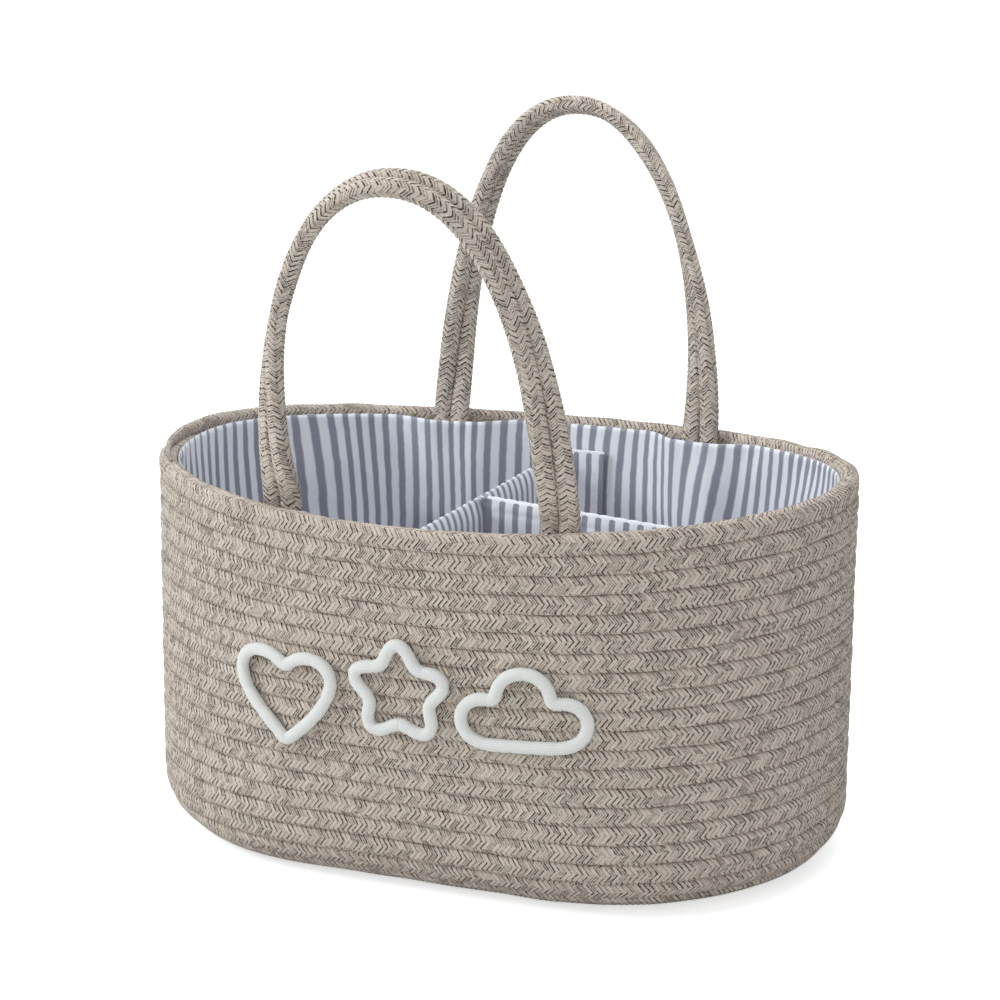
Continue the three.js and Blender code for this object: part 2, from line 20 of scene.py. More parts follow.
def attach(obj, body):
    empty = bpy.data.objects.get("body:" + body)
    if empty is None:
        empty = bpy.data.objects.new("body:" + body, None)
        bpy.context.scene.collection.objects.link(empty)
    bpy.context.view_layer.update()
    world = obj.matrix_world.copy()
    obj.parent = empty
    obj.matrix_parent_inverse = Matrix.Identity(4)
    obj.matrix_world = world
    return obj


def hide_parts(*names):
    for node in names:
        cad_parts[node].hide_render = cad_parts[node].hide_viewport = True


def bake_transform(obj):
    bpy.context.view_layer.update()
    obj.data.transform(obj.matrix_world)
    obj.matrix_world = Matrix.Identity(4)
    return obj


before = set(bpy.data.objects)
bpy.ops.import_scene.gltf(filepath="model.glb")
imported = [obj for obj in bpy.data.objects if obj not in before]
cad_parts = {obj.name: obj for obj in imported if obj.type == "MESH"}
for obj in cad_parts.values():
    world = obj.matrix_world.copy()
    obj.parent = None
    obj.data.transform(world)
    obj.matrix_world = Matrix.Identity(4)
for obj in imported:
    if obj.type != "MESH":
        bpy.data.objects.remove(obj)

MM = 0.001

# In the UV map named Cloth: a hem's height, from stripe to stripe of the divider's cotton, where
# the middle of the basket is across the stripes, and where the painted shade at the lengthwise
# panel's corner, by the crosswise panel, ends.
HEM_LINE = 500.0
PANEL_STRIPE = 7.7
STRIPE_SHIFT = 402.8
CORNER_SHADE_END = 395.3

log = logging.getLogger("caddy")

Colour = tuple[float, float, float]
Array = np.ndarray
Mesh = bpy.types.Mesh
Piece = bpy.types.Object
Finish = bpy.types.Material


class Slot(Enum):
    """The finishes that the record names."""

    ROPE = "rope"
    STRIPED_COTTON = "striped_cotton"
    WHITE_CORD = "white_cord"
    BOARD = "board"
    TAPE = "hook_and_loop_tape"


class Body(Enum):
    """The bodies that pieces ride on."""

    BASKET = "root"
    FRONT_HANDLE = "front_handle"
    BACK_HANDLE = "back_handle"
    DIVIDER = "divider"


class Tape(Enum):
    """The two faces of a hook and loop closure."""

    HOOK = "hook"
    LOOP = "loop"


def paint(red: int, green: int, blue: int) -> Colour:
    """Turns a screen colour, 0 to 255, into the linear colour that a shader takes."""

    def linear(channel: float) -> float:
        """One channel, by the sRGB curve."""
        share = channel / 255
        return share / 12.92 if share <= 0.04045 else ((share + 0.055) / 1.055) ** 2.4

    return linear(red), linear(green), linear(blue)


# Node trees


def maths_method(operation: str, reflected: bool = False) -> Callable[..., "Signal"]:
    """Makes a method of Signal that adds a Math node; reflected puts self last."""

    def method(self: "Signal", *other: "Signal | float") -> "Signal":
        """The operation's result."""
        values = (*other, self) if reflected else (self, *other)
        return self.graph.maths(operation, *values)

    return method


class Signal:
    """A socket of a node tree, with Python's operators on it."""

    def __init__(self, graph: "Graph", socket: bpy.types.NodeSocket) -> None:
        """Wraps socket, which belongs to graph's tree."""
        self.graph = graph
        self.socket = socket

    def output(self, name: str) -> "Signal":
        """Another output of the same node."""
        return Signal(self.graph, self.socket.node.outputs[name])

    __add__ = __radd__ = maths_method("ADD")
    __sub__ = maths_method("SUBTRACT")
    __rsub__ = maths_method("SUBTRACT", reflected=True)
    __mul__ = __rmul__ = maths_method("MULTIPLY")
    __truediv__ = maths_method("DIVIDE")
    __pow__ = maths_method("POWER")
    __abs__ = maths_method("ABSOLUTE")


Feed = Signal | float | int | str | tuple | bpy.types.ID


class Graph:
    """Builds one node tree."""

    def __init__(self, tree: bpy.types.NodeTree) -> None:
        """Starts on tree."""
        self.tree = tree

    def node(self, kind: str, settings: dict | None = None, *values: Feed, **named: Feed) -> Signal:
        """Adds a node.

        Args:
            kind: The node's type.
            settings: Its properties, which are set first; stops are a colour ramp's.
            values: What its inputs take, in their order.
            named: What its inputs take by name, with an underscore for a space.

        Returns:
            Its first output.
        """
        made = self.tree.nodes.new(kind)
        for name, setting in (settings or {}).items():
            if name == "stops":
                self._set_stops(made.color_ramp, setting)
            else:
                setattr(made, name, setting)
        sockets = [socket for socket in made.inputs if socket.enabled]
        wanted = {name.replace("_", " ").lower(): value for name, value in named.items()}
        pairs = list(zip(sockets, values))
        for name, value in wanted.items():
            pairs.append((next(s for s in sockets if s.name.lower() == name), value))
        for socket, value in pairs:
            if isinstance(value, Signal):
                self.tree.links.new(value.socket, socket)
            else:
                socket.default_value = value
        outputs = [socket for socket in made.outputs if socket.enabled]
        return Signal(self, outputs[0] if outputs else made.inputs[0])

    @staticmethod
    def _set_stops(ramp: bpy.types.ColorRamp, stops: Sequence[tuple[float, Colour]]) -> None:
        """Gives a colour ramp its stops, each a place and a colour."""
        while len(ramp.elements) < len(stops):
            ramp.elements.new(1)
        for element, (place, colour) in zip(ramp.elements, stops):
            element.position = place
            element.color = (*colour, 1)

    def maths(self, operation: str, *values: Signal | float) -> Signal:
        """A Math node on one to three values."""
        return self.node("ShaderNodeMath", {"operation": operation}, *values)

    def floor(self, value: Signal) -> Signal:
        """The whole number at or below value."""
        return self.maths("FLOOR", value)

    def fraction(self, value: Signal) -> Signal:
        """What is left of value above its whole number."""
        return self.maths("FRACT", value)

    def least(self, first: Signal | float, second: Signal | float) -> Signal:
        """The smaller of two values."""
        return self.maths("MINIMUM", first, second)

    def most(self, first: Signal | float, second: Signal | float) -> Signal:
        """The larger of two values."""
        return self.maths("MAXIMUM", first, second)

    def between(self, value: Signal, low: float, high: float) -> Signal:
        """Runs smoothly from 0 at low to 1 at high; low may be the larger."""
        settings = {"interpolation_type": "SMOOTHSTEP"}
        return self.node("ShaderNodeMapRange", settings, value, low, high, 0.0, 1.0)

    def vector(self, x: Signal | float, y: Signal | float, z: Signal | float = 0.0) -> Signal:
        """A vector from its three parts."""
        return self.node("ShaderNodeCombineXYZ", None, x, y, z)

    def chance(self, *parts: Signal | float) -> Signal:
        """A random number from 0 to 1 for each set of whole numbers."""
        settings = {"noise_dimensions": "3D"}
        return self.node("ShaderNodeTexWhiteNoise", settings, self.vector(*parts))

    def noise(self, place: Signal, scale: float, detail: float = 2.0) -> Signal:
        """Soft noise from 0 to 1 at a place."""
        settings = {"noise_dimensions": "3D"}
        return self.node("ShaderNodeTexNoise", settings, Vector=place, Scale=scale, Detail=detail)

    def mix(self, share: Signal | float, first: Feed, second: Feed) -> Signal:
        """A colour between first, at 0, and second, at 1."""
        ends = [end if isinstance(end, Signal) else (*end, 1) for end in (first, second)]
        return self.node("ShaderNodeMix", {"data_type": "RGBA"}, share, *ends)

    def scaled(self, vector: Signal, share: Signal | float) -> Signal:
        """A colour or a vector times share, which may be a value or a plain number."""
        settings = {"operation": "SCALE"}
        return self.node("ShaderNodeVectorMath", settings, Vector=vector, Scale=share)

    def summed(self, first: Signal, second: Signal) -> Signal:
        """The sum of two vectors."""
        return self.node("ShaderNodeVectorMath", {"operation": "ADD"}, first, second)


def empty_graph(owner: bpy.types.Material | bpy.types.World) -> Graph:
    """Clears the node tree of a material or a world, and starts a graph on it."""
    owner.use_nodes = True
    owner.node_tree.nodes.clear()
    return Graph(owner.node_tree)


class Surface:
    """A material under construction, with its Principled shader."""

    def __init__(self, name: str) -> None:
        """Starts an empty material called name."""
        self.material = bpy.data.materials.new(name)
        self.graph = empty_graph(self.material)

    def finish(
        self,
        colour: Signal,
        roughness: float,
        specular: float,
        bump: Signal,
        depth: float,
        sheen: float = 0.0,
    ) -> Finish:
        """Joins the shader up.

        Args:
            colour: The base colour.
            roughness: The roughness.
            specular: The specular level.
            bump: The height of the surface in millimetres.
            depth: How strongly the bump shows, from 0 to 1.
            sheen: How much sheen the cloth has.

        Returns:
            The material.
        """
        graph = self.graph
        normal = graph.node("ShaderNodeBump", None, Strength=depth, Distance=MM, Height=bump)
        shader = graph.node(
            "ShaderNodeBsdfPrincipled",
            None,
            Base_Color=colour,
            Roughness=roughness,
            Normal=normal,
            Specular_IOR_Level=specular,
            Sheen_Weight=sheen,
        )
        graph.node("ShaderNodeOutputMaterial", None, shader)
        return self.material

    def coordinates(self, uv_map: str) -> tuple[Signal, Signal]:
        """A UV map's two coordinates in millimetres."""
        graph = self.graph
        place = graph.node("ShaderNodeUVMap", {"uv_map": uv_map})
        parts = graph.node("ShaderNodeSeparateXYZ", None, place)
        return parts / MM, parts.output("Y") / MM


@dataclass(frozen=True)
class BraidedCotton:
    """A braided rope of paired melange yarns whose strokes turn back at lines along it."""

    name: str
    perimeter: float
    pitch: float = 1.35
    lean: float = 0.78
    faces: int = 8
    apex: float = 1.5
    pale: Colour = paint(233, 222, 209)
    plain: Colour = paint(200, 187, 173)
    # The dark strokes' colour: partly darker yarn, partly painted shade in the grooves between
    # yarns.
    shade: Colour = paint(58, 49, 43)
    groove: float = 0.5
    # How far the colour is scaled down along the lines where neighbouring rows or ropes meet, a
    # painted shade in the groove; below zero it lightens them instead, a painted light that fills
    # in the groove's shadow.
    seam: float = -0.12
    patchiness: float = 0.14

    def material(self) -> Finish:
        """Builds the material.

        Returns:
            The material, which reads the UV map named Rope: along the rope and round it.
        """
        surface = Surface(self.name)
        graph = surface.graph
        along, around = surface.coordinates("Rope")
        side = self.perimeter / self.faces
        place = graph.vector(along, around)
        turned = (around - self.apex) / side
        face = graph.floor(turned)
        aside = abs(graph.fraction(turned / 2 + 0.5) - 0.5) * (2 * side)
        ragged = graph.noise(place, scale=0.9, detail=3.0) - 0.5
        drift = graph.noise(graph.vector(along * 0.03, face * 7.0), scale=1.0, detail=1.0)
        phase = (along + self.lean * aside + 0.8 * ragged) / self.pitch + 0.8 * drift
        within = graph.fraction(phase)
        edge = graph.least(within, 1 - within) * self.pitch
        nearest = graph.floor(phase + 0.5)
        picked = graph.chance(nearest, face, 3.0)
        between_pairs = abs(graph.fraction(nearest / 2) - 0.5) * 2
        strong = 0.5 + 0.5 * graph.between(picked, 0.05, 0.7)
        faint = 0.1 + 0.7 * graph.between(picked, 0.4, 0.95)
        weight = faint + (strong - faint) * between_pairs
        # The dark strokes lie along the lines between yarns, strongest between pairs: partly darker
        # yarn, partly painted shade in the grooves.
        broken = graph.between(graph.noise(place, scale=0.6, detail=2.0), 0.3, 0.55)
        reach = self.groove * (0.55 + 0.75 * weight)
        line = 1 - graph.between(edge / reach, 0.25, 1.15)
        dark = line * weight * (0.22 + 0.78 * broken)
        tone = graph.chance(graph.floor(phase), face, 8.0)
        fleck = graph.between(graph.noise(place, scale=2.6, detail=5.0), 0.42, 0.66)
        yarn = graph.mix(tone * 0.55 + 0.45 * fleck, self.plain, self.pale)
        cloud = graph.noise(graph.vector(along * 0.04, around * 0.1), scale=1.0, detail=1.0)
        patch = 1 - self.patchiness / 2 + self.patchiness * cloud
        # Painted seam shading: near the lines where rows or ropes meet, the colour is darkened as
        # painted shade, or lightened as painted light where the seam setting is below zero.
        quarter = self.perimeter / 4
        from_seam = abs(abs(around) - quarter)
        uneven = 0.35 + 1.1 * graph.noise(graph.vector(along * 0.25, 0.0), scale=1.0, detail=2.0)
        painted_seam_shading = self.seam * uneven * (1 - graph.between(from_seam, 0.2, 1.5))
        colour = graph.mix(dark, yarn, self.shade)
        colour = graph.scaled(colour, patch * (1 - painted_seam_shading))
        ridge = graph.between(edge, 0.0, self.pitch / 2)
        height = 0.3 * ridge - 0.12 * dark + 0.06 * graph.noise(place, scale=5.0, detail=4.0)
        return surface.finish(colour, roughness=0.95, specular=0.15, bump=height, depth=0.9)


@dataclass(frozen=True)
class StripedCotton:
    """A plain-woven cotton with stripes printed along one thread direction."""

    name: str = "striped_cotton"
    period: float = 8.5
    dark_share: float = 0.46
    pale: Colour = paint(240, 242, 248)
    dark: Colour = paint(150, 152, 165)
    hem_at: float | None = None
    hem_round: float = 1.0
    # Where the painted shade at the panel's corner ends, or None.
    corner_shade_to: float | None = None

    def material(self) -> Finish:
        """Builds the material.

        Returns:
            The material, which reads the UV map named Cloth: across the stripes and along.
        """
        surface = Surface(self.name)
        graph = surface.graph
        across, along = surface.coordinates("Cloth")
        place = graph.vector(across, along)
        sway = graph.noise(graph.vector(across * 0.05, along * 0.12), scale=1.0, detail=2.0)
        wobble = 0.35 * (sway - 0.5)
        within = graph.fraction(across / self.period + wobble * 0.4)
        off = abs(within - 0.5) * self.period
        half = self.dark_share * self.period / 2
        thread = 0.12 * (graph.noise(place, scale=3.5, detail=3.0) - 0.5)
        inside = 1 - graph.between(off + thread, half - 0.5, half + 0.5)
        # Near the hem the dark stripes end in rounded tips below the top edge, which stays pale:
        # partly the hem's own pale edge, partly a painted highlight where light falls on the top.
        if self.hem_at is not None:
            reach = graph.most(along - (self.hem_at - self.hem_round), 0.0) / self.hem_round
            room = graph.maths("SQRT", graph.most(1 - reach * reach, 0.0)) * half
            inside = inside * (1 - graph.between(off - room, -0.3, 0.3))
        # Painted shade at the lengthwise panel's corner by the crosswise panel: up to the given
        # place the cloth takes the dark stripes' colour, partly a real dark stripe and partly a
        # painted shadow of the joint.
        if self.corner_shade_to is not None:
            corner = 1 - graph.between(across - self.corner_shade_to, -0.4, 0.4)
            inside = graph.most(inside, corner)
        colour = graph.mix(inside, self.pale, self.dark)
        # The colour is a little darker in the gaps between the woven threads, a painted shade
        # there, and varies in soft random clouds.
        weft = abs(graph.fraction(along / 0.42) - 0.5)
        warp = abs(graph.fraction(across / 0.42) - 0.5)
        weave = weft + warp
        cloud = graph.noise(graph.vector(across * 0.03, along * 0.03), scale=1.0, detail=2.0)
        colour = graph.scaled(colour, (0.95 + 0.1 * cloud) * (1.02 - 0.09 * weave))
        height = 0.06 * weave + 0.08 * graph.noise(place, scale=0.5, detail=2.0)
        return surface.finish(
            colour, roughness=0.88, specular=0.2, bump=height, depth=0.6, sheen=0.15
        )


@dataclass(frozen=True)
class KnittedCord:
    """A soft white cord whose knitted loops run along it in fine columns."""

    name: str = "knitted_white_cord"
    pitch: float = 1.1
    columns: float = 1.25
    pale: Colour = paint(232, 233, 229)
    # The colour of the hollows between loops, a painted shade.
    shade: Colour = paint(196, 198, 194)

    def material(self) -> Finish:
        """Builds the material.

        Returns:
            The material, which reads the UV map named Rope: along the cord and round it.
        """
        surface = Surface(self.name)
        graph = surface.graph
        along, around = surface.coordinates("Rope")
        column = graph.fraction(around / self.columns)
        bend = abs(column - 0.5) * self.columns
        loop = graph.fraction((along + 0.8 * bend) / self.pitch)
        rim = graph.least(loop, 1 - loop) * 2
        wale = graph.least(column, 1 - column) * 2
        raised = graph.between(rim, 0.0, 0.7) * graph.between(wale, 0.0, 0.6)
        place = graph.vector(along, around)
        fuzz = graph.noise(place, scale=2.2, detail=4.0)
        # Between the raised loops the colour runs towards the shade colour, a painted shade in the
        # hollows; the fuzz also darkens it at random.
        share = 0.45 * (1 - raised) + 0.25 * graph.between(fuzz, 0.5, 0.8)
        colour = graph.mix(share, self.pale, self.shade)
        height = 0.12 * raised + 0.08 * fuzz
        return surface.finish(
            colour, roughness=0.92, specular=0.15, bump=height, depth=0.6, sheen=0.2
        )


@dataclass(frozen=True)
class SewingThread:
    """A twisted cotton thread."""

    name: str
    colour: Colour

    def material(self) -> Finish:
        """Builds the material, whose strands turn round the thread in object space."""
        surface = Surface(self.name)
        graph = surface.graph
        place = graph.node("ShaderNodeTexCoord").output("Object")
        fibre = graph.noise(place, scale=2600.0, detail=3.0)
        colour = graph.mix(fibre, self.colour, tuple(0.72 * part for part in self.colour))
        return surface.finish(colour, roughness=0.8, specular=0.25, bump=0.1 * fibre, depth=0.5)


@dataclass(frozen=True)
class GreyCard:
    """A recycled card with pressed fibres."""

    name: str = "grey_card"
    pale: Colour = paint(168, 160, 150)
    dark: Colour = paint(128, 120, 111)

    def material(self) -> Finish:
        """Builds the material in object space."""
        surface = Surface(self.name)
        graph = surface.graph
        place = graph.node("ShaderNodeTexCoord").output("Object")
        fibre = graph.noise(place, scale=900.0, detail=5.0)
        cloud = graph.noise(place, scale=60.0, detail=3.0)
        colour = graph.mix(fibre * 0.6 + cloud * 0.4, self.dark, self.pale)
        return surface.finish(colour, roughness=0.85, specular=0.3, bump=0.06 * fibre, depth=0.5)


@dataclass(frozen=True)
class FastenerTape:
    """A white tape with rows of tiny hooks, or with a felt of loops."""

    face: Tape
    pale: Colour = paint(226, 227, 231)
    # The colour of the hollows between hooks or loops, a painted shade.
    shade: Colour = paint(168, 170, 178)

    def material(self) -> Finish:
        """Builds the material, which reads the UV map named Cloth."""
        surface = Surface(f"{self.face.value}_tape")
        graph = surface.graph
        across, along = surface.coordinates("Cloth")
        place = graph.vector(across, along)
        fuzz = graph.noise(place, scale=1.6, detail=5.0)
        if self.face is Tape.HOOK:
            row = abs(graph.fraction(across / 1.3) - 0.5)
            tuft = abs(graph.fraction(along / 1.1) - 0.5)
            raised = 1 - graph.between(row + tuft, 0.2, 0.55)
        else:
            raised = graph.between(fuzz, 0.35, 0.65)
        # Below the raised hooks or loops the colour runs towards the shade colour, a painted shade
        # in the hollows.
        colour = graph.mix(raised * 0.8 + fuzz * 0.2, self.shade, self.pale)
        return surface.finish(colour, roughness=0.75, specular=0.3, bump=0.35 * raised, depth=0.8)


class Finishes:
    """The finishes that several pieces share, each built once."""

    def __init__(self) -> None:
        """Builds them."""
        self.rope = BraidedCotton("braided_cotton", WALL_ROPE.perimeter).material()
        # The strap's seam setting paints shade along the sides where its ropes meet.
        self.strap = BraidedCotton(
            "braided_strap", STRAP_ROPE.perimeter, pitch=1.6, apex=0.0, seam=0.2, groove=0.56
        ).material()
        self.white_cord = KnittedCord().material()
        self.panel = StripedCotton("divider_cotton", PANEL_STRIPE).material()
        self.hemmed_panel = StripedCotton(
            "hemmed_divider_cotton", PANEL_STRIPE, hem_at=HEM_LINE - 1.3
        ).material()
        self.corner_shaded_panel = StripedCotton(
            "corner_shaded_divider_cotton",
            PANEL_STRIPE,
            hem_at=HEM_LINE - 0.9,
            hem_round=0.7,
            corner_shade_to=CORNER_SHADE_END,
        ).material()
        self.board = GreyCard().material()
        self.hooks = FastenerTape(Tape.HOOK).material()
        self.loops = FastenerTape(Tape.LOOP).material()
        self.thread = SewingThread("sewing_thread", paint(226, 228, 236)).material()


# Shapes


class Ripples:
    """Smooth random waves of one argument or two, the same in each run."""

    def __init__(self, seed: int, wavelength: float, count: int = 7) -> None:
        """Draws the waves.

        Args:
            seed: Which set of waves.
            wavelength: The mean length of a wave, in the arguments' unit.
            count: How many waves are summed.
        """
        rng = np.random.default_rng(seed)
        length = wavelength * rng.uniform(0.6, 1.7, count)
        heading = rng.uniform(0, 2 * math.pi, count)
        self.along = np.cos(heading) / length
        self.across = np.sin(heading) / length
        self.phase = rng.uniform(0, 2 * math.pi, count)

    def __call__(self, u: Array, v: Array | float = 0.0) -> Array:
        """The sum at u and v, mostly between -1 and 1."""
        u, v = np.broadcast_arrays(np.asarray(u, float), np.asarray(v, float))
        turns = np.multiply.outer(u, self.along) + np.multiply.outer(v, self.across)
        return np.sin(2 * math.pi * turns + self.phase).sum(-1) / math.sqrt(len(self.phase))


def swayed(wave: tuple[float, int, float], run: Array) -> Array:
    """How far a rope sways along its run, by a wave's depth, seed and length."""
    depth, seed, wavelength = wave
    return depth * Ripples(seed, wavelength)(run)


def unit(vectors: Array) -> Array:
    """The same directions with length 1."""
    return vectors / np.maximum(np.linalg.norm(vectors, axis=-1, keepdims=True), 1e-12)


def squared(out: Array, heading: Array) -> tuple[Array, Array]:
    """A path's outward directions, made square to its headings, and the directions across."""
    across = unit(np.cross(out, heading))
    return unit(np.cross(heading, across)), across


def smooth_step(value: Array | float, low: float, high: float) -> Array:
    """Runs smoothly from 0 at low to 1 at high."""
    share = np.clip((np.asarray(value, float) - low) / (high - low), 0, 1)
    return share * share * (3 - 2 * share)


def lengths_along(points: Array) -> Array:
    """The way walked from the first point to each point."""
    return np.concatenate([[0.0], np.cumsum(np.linalg.norm(np.diff(points, axis=0), axis=1))])


def interpolated(wanted: Array, known: Array, points: Array) -> Array:
    """Points at the wanted places on a line whose points are at the known places."""
    return np.stack([np.interp(wanted, known, points[:, axis]) for axis in range(3)], axis=1)


def respaced(points: Array, spacing: float) -> Array:
    """Points at an even spacing on the line through points, both ends kept."""
    walked = lengths_along(points)
    count = max(int(round(walked[-1] / spacing)), 2)
    return interpolated(np.linspace(0, walked[-1], count + 1), walked, points)


def softened(points: Array, spread: int) -> Array:
    """Points averaged with their neighbours, both ends kept."""
    window = np.hanning(2 * spread + 3)[1:-1]
    window /= window.sum()
    before = 2 * points[0] - points[spread:0:-1]
    after = 2 * points[-1] - points[-2 : -spread - 2 : -1]
    padded = np.concatenate([before, points, after])
    smooth = [np.convolve(padded[:, axis], window, mode="valid") for axis in range(3)]
    return np.stack(smooth, axis=1)


def linked(name: str, data: bpy.types.ID) -> bpy.types.Object:
    """Makes an object from its data and puts it into the scene."""
    made = bpy.data.objects.new(name, data)
    bpy.context.scene.collection.objects.link(made)
    return made


def mesh_object(name: str, points: Array, faces: Sequence[Sequence[int]], finish: Finish) -> Piece:
    """Makes a smooth-shaded piece from points in millimetres.

    Args:
        name: The piece's name.
        points: Its corners.
        faces: The corners of each face.
        finish: Its material.

    Returns:
        The object, at the origin.
    """
    mesh = bpy.data.meshes.new(name)
    mesh.from_pydata((np.asarray(points) * MM).tolist(), [], [list(face) for face in faces])
    return dressed(name, mesh, finish)


def dressed(name: str, mesh: Mesh, finish: Finish) -> Piece:
    """Turns a mesh into an object with one material, its faces pointing out."""
    if signed_volume(mesh) < 0:
        mesh.flip_normals()
    mesh.materials.clear()
    mesh.materials.append(finish)
    mesh.shade_smooth()
    mesh.name = name
    return linked(name, mesh)


def corner_points(mesh: Mesh) -> Array:
    """The places of a mesh's vertices."""
    points = np.empty(len(mesh.vertices) * 3, np.float32)
    mesh.vertices.foreach_get("co", points)
    return points.reshape(-1, 3).astype(float)


def signed_volume(mesh: Mesh) -> float:
    """The volume that a closed mesh holds, below zero where its faces point in."""
    points = corner_points(mesh)
    mesh.calc_loop_triangles()
    corners = np.empty(len(mesh.loop_triangles) * 3, np.int32)
    mesh.loop_triangles.foreach_get("vertices", corners)
    a, b, c = (points[corners[k::3]] for k in range(3))
    return float(np.einsum("ij,ij->", a, np.cross(b, c)) / 6)


def loop_vertices(mesh: Mesh) -> Array:
    """The vertex of each face corner."""
    found = np.empty(len(mesh.loops), np.int32)
    mesh.loops.foreach_get("vertex_index", found)
    return found


def add_uv(mesh: Mesh, name: str, values: Array) -> None:
    """Adds a UV map from one pair of values for each face corner."""
    layer = mesh.uv_layers.new(name=name, do_init=False)
    layer.data.foreach_set("uv", np.asarray(values, np.float32).ravel())


def add_attribute(mesh: Mesh, name: str, values: Array) -> None:
    """Adds a vector or a number for each vertex, by the shape of values."""
    kind, part = ("FLOAT_VECTOR", "vector") if values.ndim == 2 else ("FLOAT", "value")
    attribute = mesh.attributes.new(name, kind, "POINT")
    attribute.data.foreach_set(part, values.astype(np.float32).ravel())


def grid_faces(rows: int, columns: int, rows_close: bool, columns_close: bool) -> Array:
    """The quads of a grid whose points run along a row first.

    Args:
        rows: How many rows of points there are.
        columns: How many points a row has.
        rows_close: Whether the last row joins the first.
        columns_close: Whether each row's last point joins its first.

    Returns:
        Four corners for each quad.
    """
    r, c = np.meshgrid(
        np.arange(rows if rows_close else rows - 1),
        np.arange(columns if columns_close else columns - 1),
        indexing="ij",
    )
    below, beside = (r + 1) % rows, (c + 1) % columns
    corners = [r * columns + c, r * columns + beside, below * columns + beside, below * columns + c]
    return np.stack(corners, axis=-1).reshape(-1, 4)


@dataclass
class Leaf:
    """A thin closed piece of cloth: a grid of middle points, with its thickness and its cloth."""

    middle: Array
    normal: Array
    half: Array
    cloth: Array

    def piece(self, name: str, finish: Finish) -> Piece:
        """Makes the piece: two faces that meet along the grid's border.

        Args:
            name: The piece's name.
            finish: Its material, which reads the UV map named Cloth.

        Returns:
            The piece.
        """
        rows, columns = self.half.shape
        front = self.middle + self.normal * self.half[..., None]
        back = self.middle - self.normal * self.half[..., None]
        border = np.ones((rows, columns), bool)
        border[1:-1, 1:-1] = False
        first = np.arange(rows * columns).reshape(rows, columns)
        second = first.copy()
        second[~border] = rows * columns + np.arange((~border).sum())
        points = np.concatenate([front.reshape(-1, 3), back[~border]])
        points[first[border]] = self.middle[border]
        quads = grid_faces(rows, columns, False, False)
        faces = np.concatenate([first.ravel()[quads], second.ravel()[quads][:, ::-1]])
        made = mesh_object(name, points, faces, finish)
        cloth = np.empty((len(points), 2))
        cloth[first.ravel()] = self.cloth.reshape(-1, 2)
        cloth[second.ravel()] = self.cloth.reshape(-1, 2)
        add_uv(made.data, "Cloth", cloth[loop_vertices(made.data)] * MM)
        return made


def edge_spaced(length: float, spacing: float, rounding: float) -> Array:
    """Places from 0 to length, close together near both ends where an edge is rounded."""
    turn = np.linspace(0, math.pi / 2, 5)[:-1]
    near = rounding * (1 - np.cos(turn))
    count = max(int(round((length - 2 * rounding) / spacing)), 2)
    inner = np.linspace(rounding, length - rounding, count + 1)
    return np.concatenate([near, inner, (length - near)[::-1]])


def rounded_edge(places: Array, rounding: float) -> Array:
    """How much of its thickness a cloth has at each place, from 0 at both ends to 1."""
    distance = np.minimum(places - places[0], places[-1] - places)
    share = np.clip(distance / rounding, 0, 1)
    return np.sqrt(1 - (1 - share) ** 2)


